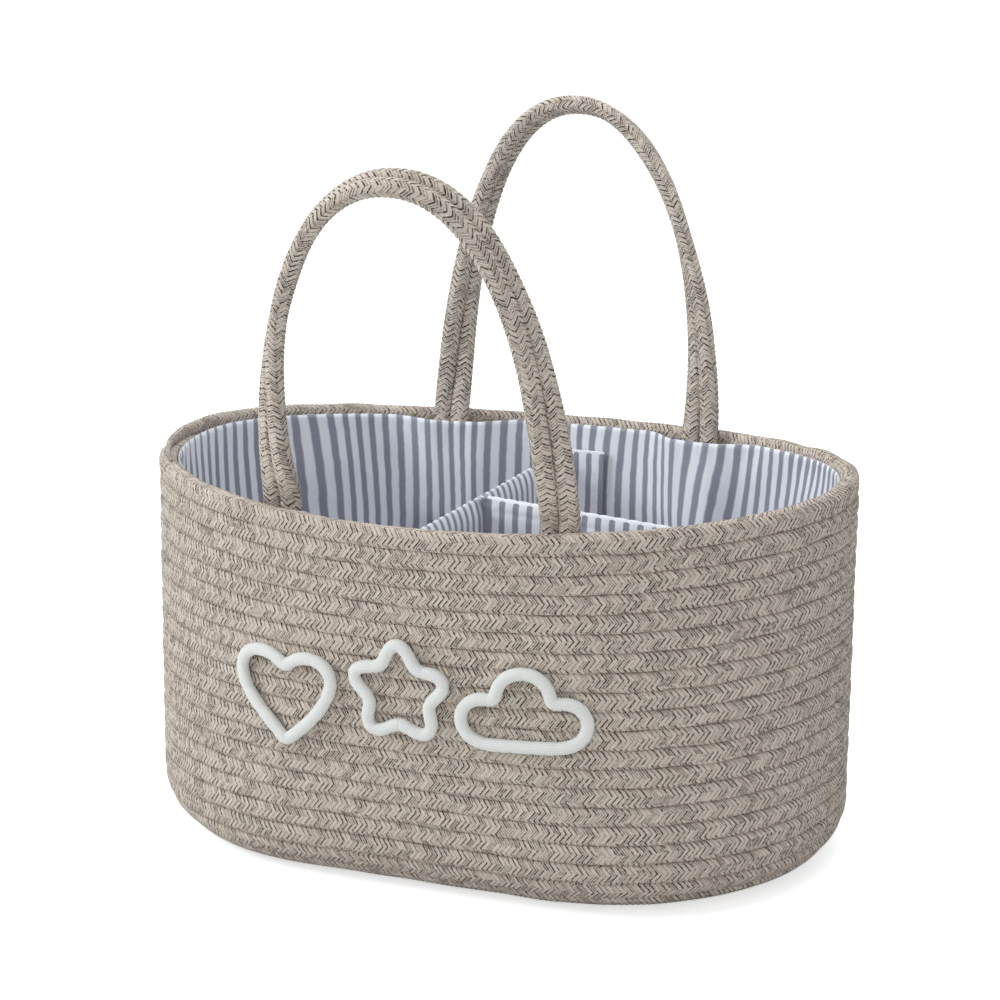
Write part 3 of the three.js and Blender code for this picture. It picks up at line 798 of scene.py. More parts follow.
@dataclass
class BasketShape:
    """The surface that the middle of the rope follows, and what is measured from it."""

    height: float = 199.0
    rim_half_length: float = 190.0
    rim_half_width: float = 137.2
    base_half_length: float = 188.9
    base_half_width: float = 126.1
    edge_radius: float = 30.0
    rim_lift: float = 4.0
    rope_diameter: float = 9.8
    floor_cut: float = 0.98
    straight_steps: int = 3
    bend_steps: int = 9
    seat_gap: float = 0.5
    face_reach: float = 4.655
    lining_thickness: float = 1.2
    lining_drop: float = 5.0
    panel_clearance: float = 1.2

    def __post_init__(self) -> None:
        """Works out the lengths and counts that follow from the sizes."""
        self.rope_radius = self.rope_diameter / 2
        # The rope's middle line: how far out at the rim's end and side, how high in the base.
        self.line_half_length = self.rim_half_length - self.rope_radius
        self.line_half_width = self.rim_half_width - self.rope_radius
        self.base_line = self.rope_radius - self.floor_cut
        # The base: half its straight run, and how far its flat reaches from there.
        self.core_half = self.base_half_length - self.base_half_width
        self.flat_reach = self.base_half_width - self.edge_radius
        # The bottom edge's quarter turn, and the wall above it.
        self.bend_radius = self.edge_radius - self.rope_radius
        self.bend_length = self.bend_radius * math.pi / 2
        self.wall_foot = self.base_line + self.bend_radius
        self.wall_length = self.height - self.rope_radius - self.wall_foot
        # From the middle of the base to the rim along the surface, and the rows on that way.
        self.mean_reach = self.flat_reach + self.bend_length + self.wall_length
        self.row_count = round(self.mean_reach / self.rope_diameter + 0.5)
        self.row_pitch = self.mean_reach / (self.row_count - 0.5)
        # The coil's steps in a half turn and in a whole turn.
        self.half_steps = self.straight_steps + self.bend_steps
        self.turn_steps = 2 * self.half_steps
        # From the rope's middle line in to the lining's back, its face and the divider.
        self.lining_inset = self.face_reach + self.seat_gap
        self.lining_face = self.lining_inset + self.lining_thickness
        self.panel_inset = self.lining_face + self.panel_clearance

    def station(self, step: Array) -> tuple[Array, Array, Array, Array]:
        """Where a step of the coil is.

        Args:
            step: Steps, which need not be whole.

        Returns:
            The half turn's number, its side, the place along the core and the turn angle.
        """
        half = np.floor(step / self.half_steps)
        within = step - half * self.half_steps
        side = np.where(half % 2 == 0, 1.0, -1.0)
        along = self.core_half * (2 * np.minimum(within / self.straight_steps, 1) - 1)
        turn = (np.maximum(within - self.straight_steps, 0) / self.bend_steps - 0.5) * math.pi
        return half, side, along, turn

    def bend(self, reach: Array) -> Array:
        """How far the surface has turned from the floor to the wall, in radians."""
        return np.clip((reach - self.flat_reach) / self.bend_length, 0, 1) * math.pi / 2

    def reach_at(self, height: Array | float) -> Array | float:
        """The reach of a height on the wall."""
        return self.flat_reach + self.bend_length + height - self.wall_foot

    def surface_point(self, step: Array, reach: Array) -> Array:
        """Points of the surface.

        Args:
            step: Where round the basket, in steps of the coil.
            reach: How far from the middle of the base, along the surface.

        Returns:
            The points, in the shape of step and reach together.
        """
        step, reach = np.broadcast_arrays(np.asarray(step, float), np.asarray(reach, float))
        _, side, along, turn = self.station(step)
        bend = self.bend(reach)
        offset = np.minimum(reach, self.flat_reach) + self.bend_radius * np.sin(bend)
        wall = np.maximum(reach - self.flat_reach - self.bend_length, 0)
        height = self.base_line + self.bend_radius * (1 - np.cos(bend)) + wall
        rise = wall / self.wall_length
        slide = self.row_pitch / 4 * np.cos(turn)
        around = np.arccos(along / self.line_half_length) * turn / (math.pi / 2)
        oval_x = along + offset * np.cos(turn) - slide * np.sin(turn)
        oval_y = offset * np.sin(turn) + slide * np.cos(turn)
        x = oval_x + (self.line_half_length * np.cos(around) - oval_x) * rise
        y = oval_y + (self.line_half_width * np.sin(around) - oval_y) * rise
        across = (x / self.line_half_length) ** 2 - (y / self.line_half_width) ** 2
        wave = self.rim_lift * rise * across
        return np.stack([side * x, side * y, height + wave], axis=-1)

    def outward(self, heading: Array, reach: Array) -> Array:
        """The surface's outward direction for a path along heading."""
        bend = np.broadcast_to(self.bend(reach), heading.shape[:-1])
        level = np.stack([heading[..., 1], -heading[..., 0], np.zeros(bend.shape)], axis=-1)
        down = np.array([0, 0, 1.0]) * np.cos(bend)[..., None]
        return unit(level) * np.sin(bend)[..., None] - down

    def inset_point(self, step: Array, reach: Array, inset: Array | float) -> Array:
        """Points at an inset inside the surface, for steps and reaches of one shape."""
        step, reach = np.broadcast_arrays(np.asarray(step, float), np.asarray(reach, float))
        near = 0.05
        heading = self.surface_point(step + near, reach) - self.surface_point(step - near, reach)
        inset = np.broadcast_to(np.asarray(inset, float), step.shape)[..., None]
        return self.surface_point(step, reach) - self.outward(heading, reach) * inset

    def coil_reach(self, step: Array) -> Array:
        """How far from the middle the coil is at a step."""
        half, _, _, turn = self.station(step)
        return (half + 1) * self.row_pitch / 2 + self.row_pitch / 4 * np.sin(turn)

    def coil_point(self, step: Array) -> Array:
        """Where the middle of the rope is at a step."""
        return self.surface_point(step, self.coil_reach(step))

    def step_where(self, axis: int, value: float, reach: float, inset: float) -> float:
        """The step on the front, or round the right end, at which a coordinate has a value."""
        steps = np.linspace(-self.bend_steps / 2, self.half_steps, 1600)
        places = self.inset_point(steps, np.full(steps.shape, reach), inset)[:, axis]
        rising = np.concatenate([[True], np.diff(places) > 0])
        return float(np.interp(value, places[rising], steps[rising]))


@dataclass
class SweepPath:
    """A line with the directions of its cross-section, which a rope is swept along."""

    points: Array
    out: Array
    across: Array
    size: Array
    wander: Array
    start: float = 0.0

    @property
    def run(self) -> Array:
        """The way along the rope at each point, counted on from start."""
        return self.start + lengths_along(self.points)


@dataclass(frozen=True)
class RopeSection:
    """The cross-section of a rope and the relief of its braid."""

    half_depth: float
    half_width: float
    squareness: float
    relief: float
    pair_pitch: float
    lean: float
    sides: int
    apex: float = 0.0
    floor: float = -1000.0

    @property
    def evening(self) -> float:
        """How far corner points move towards the section's corners, to be evenly spaced."""
        return 0.45 * (1 - 2 / self.squareness)

    @property
    def perimeter(self) -> float:
        """The way round the section."""
        turn = np.arange(self.sides + 1) * 2 * math.pi / self.sides
        turn = turn - self.evening * np.sin(4 * turn)
        power = 2 / self.squareness
        deep = self.half_depth * np.sign(np.cos(turn)) * np.abs(np.cos(turn)) ** power
        wide = self.half_width * np.sign(np.sin(turn)) * np.abs(np.sin(turn)) ** power
        return float(np.hypot(np.diff(deep), np.diff(wide)).sum())

    def tree_inputs(self) -> dict[str, float]:
        """The sweep's inputs, in metres."""
        return {
            "Half Depth": self.half_depth * MM,
            "Half Width": self.half_width * MM,
            "Roundness": 2 / self.squareness,
            "Evening": self.evening,
            "Relief": self.relief * MM,
            "Pair Pitch": self.pair_pitch * MM,
            "Lean": self.lean,
            "Apex": self.apex * MM,
            "Perimeter": self.perimeter * MM,
            "Sides": self.sides,
            "Floor": self.floor * MM,
        }


WALL_ROPE = RopeSection(
    half_depth=4.72,
    half_width=5.34,
    squareness=3.6,
    relief=0.17,
    pair_pitch=2.7,
    lean=0.78,
    sides=16,
    apex=1.5,
)
STRAP_ROPE = RopeSection(
    half_depth=4.4,
    half_width=4.82,
    squareness=2.6,
    relief=0.22,
    pair_pitch=3.2,
    lean=0.78,
    sides=16,
)
TRIM_CORD = RopeSection(
    half_depth=2.75, half_width=3.3, squareness=2.2, relief=0.05, pair_pitch=2.6, lean=0.5, sides=20
)
TACK_THREAD = RopeSection(
    half_depth=0.45, half_width=0.45, squareness=2.0, relief=0.04, pair_pitch=1.3, lean=0.8, sides=8
)


class NodeRecipe:
    """A Geometry Nodes tree with named inputs, and the way to run it on a mesh."""

    SOCKETS = {float: "NodeSocketFloat", int: "NodeSocketInt"}

    def __init__(self, name: str, inputs: dict[str, type]) -> None:
        """Makes the tree.

        Args:
            name: The tree's name.
            inputs: The name of each input, with the type of its value.
        """
        self.tree = bpy.data.node_groups.new(name, "GeometryNodeTree")
        face = self.tree.interface
        face.new_socket("Geometry", in_out="INPUT", socket_type="NodeSocketGeometry")
        for label, kind in inputs.items():
            face.new_socket(label, in_out="INPUT", socket_type=self.SOCKETS[kind])
        face.new_socket("Finish", in_out="INPUT", socket_type="NodeSocketMaterial")
        face.new_socket("Geometry", in_out="OUTPUT", socket_type="NodeSocketGeometry")
        self.graph = Graph(self.tree)
        self.given = self.graph.node("NodeGroupInput")

    def close(self, shape: Signal) -> None:
        """Ends the tree: instances made real, shaded smooth, and the finish set."""
        graph = self.graph
        real = graph.node("GeometryNodeRealizeInstances", None, shape)
        smooth = graph.node("GeometryNodeSetShadeSmooth", None, real)
        done = graph.node(
            "GeometryNodeSetMaterial", None, Geometry=smooth, Material=self.given.output("Finish")
        )
        graph.node("NodeGroupOutput", None, done)

    def run(self, source: Mesh, values: dict[str, float], finish: Finish) -> Mesh:
        """Runs the tree on a mesh.

        Args:
            source: The mesh that the tree starts from, which is removed.
            values: The value of each named input.
            finish: The material that the tree sets.

        Returns:
            The result as a plain mesh.
        """
        holder = linked(source.name, source)
        modifier = holder.modifiers.new(self.tree.name, "NODES")
        modifier.node_group = self.tree
        sockets = {
            item.name: item.identifier
            for item in self.tree.interface.items_tree
            if item.item_type == "SOCKET" and item.in_out == "INPUT"
        }
        for label, value in values.items():
            modifier[sockets[label]] = value
        modifier[sockets["Finish"]] = finish
        graph = bpy.context.evaluated_depsgraph_get()
        made = bpy.data.meshes.new_from_object(holder.evaluated_get(graph), depsgraph=graph)
        holder.modifiers.remove(modifier)
        bpy.data.objects.remove(holder)
        bpy.data.meshes.remove(source)
        return made


class RopeSweep(NodeRecipe):
    """Sweeps a braided rope along a path: a tube of rings with capped ends and a raised braid."""

    def __init__(self) -> None:
        """Builds the tree."""
        kinds = {label: float for label in WALL_ROPE.tree_inputs()}
        super().__init__("rope_sweep", kinds | {"Sides": int})
        graph, given = self.graph, self.given
        sides = given.output("Sides")
        path = given.output("Geometry")
        count = graph.node("GeometryNodeAttributeDomainSize", {"component": "MESH"}, path)
        tube = graph.node(
            "GeometryNodeMeshCylinder",
            {"fill_type": "NGON"},
            Vertices=sides,
            Side_Segments=count - 1,
            Radius=1.0,
            Depth=1.0,
        )
        index = graph.node("GeometryNodeInputIndex")
        ring = graph.floor((index + 0.5) / sides)
        angle = (index - ring * sides) * (2 * math.pi) / sides

        def sampled(value: Signal, kind: str) -> Signal:
            """A value of the path at this ring."""
            settings = {"data_type": kind, "domain": "POINT"}
            return graph.node("GeometryNodeSampleIndex", settings, path, value, ring)

        def attribute(name: str, kind: str) -> Signal:
            """A named attribute of the path at this ring."""
            named = graph.node("GeometryNodeInputNamedAttribute", {"data_type": kind}, name)
            return sampled(named, kind)

        middle = sampled(graph.node("GeometryNodeInputPosition"), "FLOAT_VECTOR")
        out = attribute("out", "FLOAT_VECTOR")
        across = attribute("across", "FLOAT_VECTOR")
        size = attribute("size", "FLOAT")
        run = attribute("run", "FLOAT")
        wander = attribute("wander", "FLOAT")

        side = given.output("Perimeter") / BraidedCotton.faces
        around = angle / (2 * math.pi) * given.output("Perimeter") + wander
        turned = (around - given.output("Apex")) / side
        aside = abs(graph.fraction(turned / 2 + 0.5) - 0.5) * (2 * side)
        angle = angle - given.output("Evening") * graph.maths("SINE", angle * 4)
        turns = (run + given.output("Lean") * aside) / given.output("Pair Pitch")
        relief = given.output("Relief") * graph.maths("SINE", turns * (2 * math.pi))

        def profile(wave: Signal, half: Signal) -> Signal:
            """One coordinate of the rounded-square section."""
            shape = graph.maths("SIGN", wave) * abs(wave) ** given.output("Roundness")
            return (shape * half + wave * relief) * size

        deep = profile(graph.maths("COSINE", angle), given.output("Half Depth"))
        wide = profile(graph.maths("SINE", angle), given.output("Half Width"))
        place = graph.summed(graph.scaled(out, deep), graph.scaled(across, wide))
        place = graph.summed(middle, place)
        parts = graph.node("ShaderNodeSeparateXYZ", None, place)
        height = graph.most(parts.output("Z"), given.output("Floor"))
        place = graph.vector(parts, parts.output("Y"), height)
        self.close(graph.node("GeometryNodeSetPosition", None, Geometry=tube, Position=place))

    def piece(self, name: str, path: SweepPath, section: RopeSection, finish: Finish) -> Piece:
        """Makes a rope.

        Args:
            name: The piece's name.
            path: The line that it follows.
            section: Its cross-section.
            finish: Its material.

        Returns:
            The rope, with its UV maps.
        """
        source = bpy.data.meshes.new(f"{name}_path")
        source.from_pydata((path.points * MM).tolist(), [], [])
        numbers = {"size": path.size, "run": path.run * MM, "wander": path.wander * MM}
        for label, values in ({"out": path.out, "across": path.across} | numbers).items():
            add_attribute(source, label, values)
        mesh = self.run(source, section.tree_inputs(), finish)
        self._unroll(mesh, path, section)
        return dressed(name, mesh, finish)

    @staticmethod
    def _unroll(mesh: Mesh, path: SweepPath, section: RopeSection) -> None:
        """Adds two UV maps: Rope, along and round the rope, and OFBake, its strips side by side.

        Args:
            mesh: The swept tube, its vertices ring by ring.
            path: The line that it follows.
            section: Its cross-section.
        """
        for layer in list(mesh.uv_layers):
            mesh.uv_layers.remove(layer)
        sides = section.sides
        corners = loop_vertices(mesh)
        ring, column = corners // sides, corners % sides
        totals = np.empty(len(mesh.polygons), np.int32)
        mesh.polygons.foreach_get("loop_total", totals)
        face = np.repeat(np.arange(len(totals)), totals)
        starts = np.concatenate([[0], np.cumsum(totals)[:-1]])
        first_ring = np.minimum.reduceat(ring, starts)[face]
        last_column = np.maximum.reduceat(column, starts)[face]
        is_cap = (totals > 4)[face]
        wraps = (last_column == sides - 1) & (column == 0) & ~is_cap
        turned = np.where(wraps, sides, column) / sides
        low_half = np.where(~is_cap & (last_column - wraps >= sides / 2), 1, 0)
        angle_share = turned - low_half
        run = path.run
        around = angle_share * section.perimeter + path.wander[ring]
        add_uv(mesh, "Rope", np.stack([run[ring] * MM, around * MM], axis=1))

        rings = len(path.points)
        length = run[-1] - run[0]
        strips = max(int(math.sqrt(length / section.perimeter)), 1)
        per_strip = math.ceil((rings - 1) / strips)
        strip = np.minimum(first_ring // per_strip, strips - 1)
        edge = 0.002
        across_strip = (ring - strip * per_strip) / per_strip
        u = edge + (1 - 2 * edge) * np.clip(across_strip, 0, 1)
        v = (strip + edge * strips + (1 - 2 * edge * strips) * turned) / strips
        u = np.where(is_cap, edge, u)
        add_uv(mesh, "OFBake", np.stack([u, v], axis=1))


def set_on(piece: Piece, body: Body) -> None:
    """Makes a piece ride on a body."""
    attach(piece, body.value)
    log.info("%s rides on %s", piece.name, body.value)


@dataclass
class Assembly:
    """A sub-assembly: the basket's shape that it follows, and what it is made with."""

    shape: BasketShape
    sweep: RopeSweep
    finishes: Finishes


@dataclass
class CoiledRope(Assembly):
    """The basket's base and wall: one rope, coiled out from the middle and up to the rim.

    Its waves, outward, from row to row and of the braid, are each a depth, a seed and a length.
    """

    SPACING = 0.84
    BASE_SPACING = 1.3
    BASE_CUT = 5.5625
    WALL_TURNS = (4, 4, 4, 3, 3)
    BASE_PIECES = 2
    WALL_FLOOR = 0.3
    TIP_STEPS = 5.0
    TIP_SHARE = 0.15
    TIP_EXTRA = 2.4
    OUT_WAVE = (0.16, 11, 60)
    ROW_WAVE = (0.3, 12, 38)
    BRAID_WAVE = (0.55, 13, 90)

    def __post_init__(self) -> None:
        """Finds the steps at which the base ends and at which the rope ends."""
        shape = self.shape
        base_turns = round(shape.flat_reach / shape.row_pitch - 1)
        self.joint = base_turns * shape.turn_steps + shape.half_steps + shape.straight_steps / 2
        self.last = shape.row_count * shape.turn_steps - shape.bend_steps / 2 - 0.5 + self.TIP_EXTRA

    def _path(self, first: float, last: float, spacing: float, start: float) -> SweepPath:
        """The rope's line between two steps, with its directions.

        Args:
            first: The step at which it starts.
            last: The step at which it ends.
            spacing: From ring to ring.
            start: The way already walked along the rope.

        Returns:
            The path.
        """
        shape = self.shape
        fine = np.linspace(first, last, int((last - first) * 60) + 2)
        walked = lengths_along(shape.coil_point(fine))
        count = int(round(walked[-1] / spacing))
        steps = np.interp(np.linspace(0, walked[-1], count + 1), walked, fine)
        points = shape.coil_point(steps)
        near = 0.03
        heading = unit(shape.coil_point(steps + near) - shape.coil_point(steps - near))
        out, across = squared(shape.outward(heading, shape.coil_reach(steps)), heading)
        run = start + np.linspace(0, walked[-1], count + 1)
        size = np.clip((self.last - steps) / self.TIP_STEPS, 0, 1)
        size = self.TIP_SHARE + (1 - self.TIP_SHARE) * np.sin(math.pi / 2 * size)
        points = points - across * ((1 - size) * WALL_ROPE.half_width)[:, None]
        points = points + out * swayed(self.OUT_WAVE, run)[:, None]
        points = points + across * swayed(self.ROW_WAVE, run)[:, None]
        return SweepPath(points, out, across, size, swayed(self.BRAID_WAVE, run) * size, start)

    def build(self) -> None:
        """Makes the base and wall pieces and sets them on the basket."""
        turn = self.shape.turn_steps
        cuts = [0.0, self.BASE_CUT * turn, self.joint]
        for turns in self.WALL_TURNS:
            cuts.append(cuts[-1] + turns * turn)
        cuts.append(self.last)
        walked = 0.0
        for number, (first, last) in enumerate(zip(cuts, cuts[1:])):
            if number < self.BASE_PIECES:
                place, row, spacing, floor = "base", number + 1, self.BASE_SPACING, 0.0
            else:
                row = number + 1 - self.BASE_PIECES
                place, spacing, floor = "wall", self.SPACING, self.WALL_FLOOR
            path = self._path(first, last, spacing, walked)
            walked = float(path.run[-1])
            section = replace(WALL_ROPE, floor=floor)
            piece = self.sweep.piece(f"{place}_rope_rows_{row}", path, section, self.finishes.rope)
            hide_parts(f"{place}_rope")
            set_on(piece, Body.BASKET)


@dataclass(frozen=True)
class StrapShape:
    """A handle's strap of two ropes: where it is sewn in and how it arches and turns."""

    rope_radius: float = 4.4
    pair_half: float = 4.6
    half_width: float = 74.5
    rise: float = 178.0
    arch_power: float = 0.93
    top_shift: float = 17.0
    shift_power: float = 1.5
    tail: float = 55.0
    twist_share: float = 0.8
    swing_y: float = 108.14
    swing_z: float = 199.0
    tail_top: float = 194.1
    foot_size: float = 1.06
    top_size: float = 0.95


@dataclass
class Handle(Assembly):
    """One handle: two ropes sewn side by side, with their tails inside the basket.

    place starts its pieces' names, body is not used, lean is in degrees,
    and back says whether it is the back one. WAVES holds the depth and the length of its waves:
    across the strap, out of it and of the braid.
    """

    place: str
    body: Body
    lean: float
    back: bool
    strap: StrapShape = StrapShape()

    SPACING = 0.75
    SOFTENING = 7
    BEND = (-7, 9)
    WAVES = ((0.15, 50), (0.2, 70), (0.5, 60))
    ROPES = (("outer", 1, 21), ("inner", -1, 31))
    BACK_SEED = 50

    def _middle_line(self) -> Array:
        """The strap's middle line from its right foot over the top to its left foot."""
        strap = self.strap
        angles = np.linspace(0, math.pi, 1200)
        level = np.cos(angles)
        aside = np.sign(level) * np.abs(level) ** strap.arch_power
        rise = np.abs(np.sin(angles)) ** strap.arch_power
        x = strap.half_width * aside + strap.top_shift * rise**strap.shift_power
        points = np.stack([x, np.zeros(len(x)), strap.rise * rise], axis=1)
        return respaced(points, self.SPACING)

    def _tail_line(self, side: int, x: float) -> Array:
        """A tail's middle line from its foot up to the swing line, leaning with the wall."""
        strap, shape = self.strap, self.shape
        heights = np.array([strap.tail_top - strap.tail, strap.swing_z])
        wall = []
        for height in heights:
            reach = shape.reach_at(height)
            step = shape.step_where(0, strap.half_width + strap.pair_half, reach, 0)
            wall.append(shape.surface_point(step, reach)[1])
        slope = wall[0] - wall[1]
        points = np.array(
            [[side * x, -strap.swing_y + slope, heights[0]], [side * x, -strap.swing_y, heights[1]]]
        )
        return respaced(points, self.SPACING)

    def _rope_path(self, side: int, seed: int) -> SweepPath:
        """One rope of the pair.

        Args:
            side: 1 for the outer rope, -1 for the inner.
            seed: Which random waves it has.

        Returns:
            Its path, from the right tail's foot to the left tail's foot.
        """
        strap = self.strap
        line = self._middle_line()
        walked = lengths_along(line)
        from_foot = 1 - np.abs(1 - 2 * walked / walked[-1])
        twist = math.pi / 2 * np.sin(math.pi / 2 * from_foot**strap.twist_share)
        heading = unit(np.gradient(line, axis=0))
        out_of_arch = np.stack([heading[:, 2], np.zeros(len(line)), -heading[:, 0]], axis=1)
        inward = np.array([0.0, 1.0, 0.0])
        offset = out_of_arch * np.cos(twist)[:, None] + inward * np.sin(twist)[:, None]
        rounding = np.sin(math.pi / 2 * from_foot)
        size = strap.foot_size + (strap.top_size - strap.foot_size) * rounding
        rope = line + offset * side * strap.pair_half * size[:, None]
        cos, sin = math.cos(math.radians(self.lean)), math.sin(math.radians(self.lean))
        lean = np.array([[1, 0, 0], [0, cos, -sin], [0, sin, cos]])
        pivot = np.array([0, -strap.swing_y, strap.swing_z])
        rope, offset = rope @ lean.T + pivot, offset @ lean.T
        x = strap.half_width + side * strap.pair_half * strap.foot_size
        right, left = self._tail_line(1, x), self._tail_line(-1, x)[::-1]
        ends = (len(right) - 1, len(left) - 1)
        points = softened(np.concatenate([right[:-1], rope, left[1:]]), self.SOFTENING)
        to_right, to_left = np.array([[1.0, 0, 0]]), np.array([[-1.0, 0, 0]])
        offset = np.concatenate([to_right.repeat(ends[0], 0), offset, to_left.repeat(ends[1], 0)])
        heading = unit(np.gradient(points, axis=0))
        offset = unit(offset - heading * np.sum(offset * heading, axis=1, keepdims=True))
        out = unit(np.cross(offset, heading))
        run = lengths_along(points)
        aside, outward, wander = (
            swayed((depth, seed + number, length), run)
            for number, (depth, length) in enumerate(self.WAVES)
        )
        points = points + offset * aside[:, None] + out * outward[:, None]
        if self.back:
            turn = np.array([-1.0, -1.0, 1.0])
            points, out, heading = points * turn, out * turn, heading * turn
        out, across = squared(out, heading)
        return SweepPath(points, out, across, np.pad(size, ends, mode="edge"), wander)

    def build(self) -> None:
        """Makes the outer rope and the inner rope, which bend where they leave the basket."""
        for name, side, seed in self.ROPES:
            path = self._rope_path(side, seed + (self.BACK_SEED if self.back else 0))
            piece = self.sweep.piece(
                f"{self.place}_handle_{name}_strand", path, STRAP_ROPE, self.finishes.strap
            )
            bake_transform(piece)
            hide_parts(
                f"{self.place}_handle_{name}_rope",
                f"{self.place}_left_{name}_tail",
                f"{self.place}_right_{name}_tail",
            )


class LiningShape:
    """The lining's face: the wall's surface, its bulges over the tails and its soft wrinkles."""

    RISE = 2.0
    SLACK = 0.9
    FOLD = 1.5
    CREASE = 0.55
    GATHER = 0.45
    GATHER_LENGTH = 7.7
    PINCH = 1.6
    PINCH_PLACE = 34
    PINCH_WIDTH = 7
    HELD_FLAT = 0.93
    PANEL_X = 4
    END_TAB_Y = 12
    # Each a seed, a length and a count of random waves.
    FOLD_RIPPLES = (41, 70, 9)
    CREASE_RIPPLES = (42, 24, 9)
    LEAN_RIPPLES = (43, 90, 7)

    def __init__(self, shape: BasketShape, strap: StrapShape) -> None:
        """Takes the shapes that the lining lies on."""
        self.shape = shape
        self.strap = strap
        self.folds = Ripples(*self.FOLD_RIPPLES)
        self.creases = Ripples(*self.CREASE_RIPPLES)
        self.leaning = Ripples(*self.LEAN_RIPPLES)
        reach = shape.reach_at(strap.tail_top)
        step = shape.step_where(0, strap.half_width + strap.pair_half, reach, 0)
        run = shape.surface_point(step + 0.5, reach) - shape.surface_point(step - 0.5, reach)
        slope = abs(float(run[1] / run[0]))
        pair = 2 * strap.rope_radius + 2 * strap.pair_half * slope
        self.bulge_depth = pair + shape.seat_gap + self.SLACK
        self.tail_foot = strap.tail_top - strap.tail

    def top_reach(self, step: Array) -> Array:
        """The reach of the lining's sewn top edge."""
        shape = self.shape
        top = shape.mean_reach + shape.rope_radius - shape.lining_drop
        aside = shape.surface_point(step, top)[..., 1]
        tilt = shape.row_pitch / 4 * aside / shape.line_half_width
        return top + tilt + self.RISE * smooth_step(aside, -40, 40)

    def bulge(self, points: Array) -> Array:
        """How far the lining stands off where it covers the sewn-in tails."""
        strap = self.strap
        aside = np.abs(np.abs(points[..., 0]) - strap.half_width) - 10
        sideways = 1 - smooth_step(aside, 0, 26)
        below = self.tail_foot - points[..., 2]
        return self.bulge_depth * sideways * (1 - smooth_step(below, -4, 26))

    def near_divider(self, points: Array) -> Array:
        """1 where the divider and its tabs lie close to the lining, and 0 elsewhere."""
        x, y = points[..., 0], points[..., 1]
        across = 1 - smooth_step(np.abs(x - self.PANEL_X), 26, 44)
        end = smooth_step(x, 110, 140) * (1 - smooth_step(np.abs(y - self.END_TAB_Y), 26, 42))
        return np.clip(np.maximum(across, end), 0, 1)

    def wrinkles(self, points: Array, around: Array, up: Array, top: Array) -> Array:
        """How far the wrinkles stand in from the lining's mean face.

        Args:
            points: Places on the mean face.
            around: The way round the rim at each place.
            up: The height of each place along the cloth.
            top: The cloth's height at its sewn top edge.

        Returns:
            The depths.
        """
        down = top - up
        soft = self.FOLD * (self.folds(around, up * 0.25) + 0.35)
        fine = self.CREASE * self.creases(around, up * 0.35)
        held = smooth_step(down, 0, 30) * (1 - 0.6 * smooth_step(up, 60, 0))
        gathers = self.GATHER * np.sin(2 * math.pi * around / self.GATHER_LENGTH)
        beside = np.abs(np.abs(points[..., 0]) - self.strap.half_width) - self.PINCH_PLACE
        pinch = np.exp(-((beside / self.PINCH_WIDTH) ** 2)) * smooth_step(up, 60, 120)
        total = (soft + fine) * held + gathers * (1 - smooth_step(down, 2, 16))
        total = total + self.PINCH * pinch * smooth_step(down, 0, 20)
        return np.clip(total, -0.4, 5) * (1 - self.HELD_FLAT * self.near_divider(points))


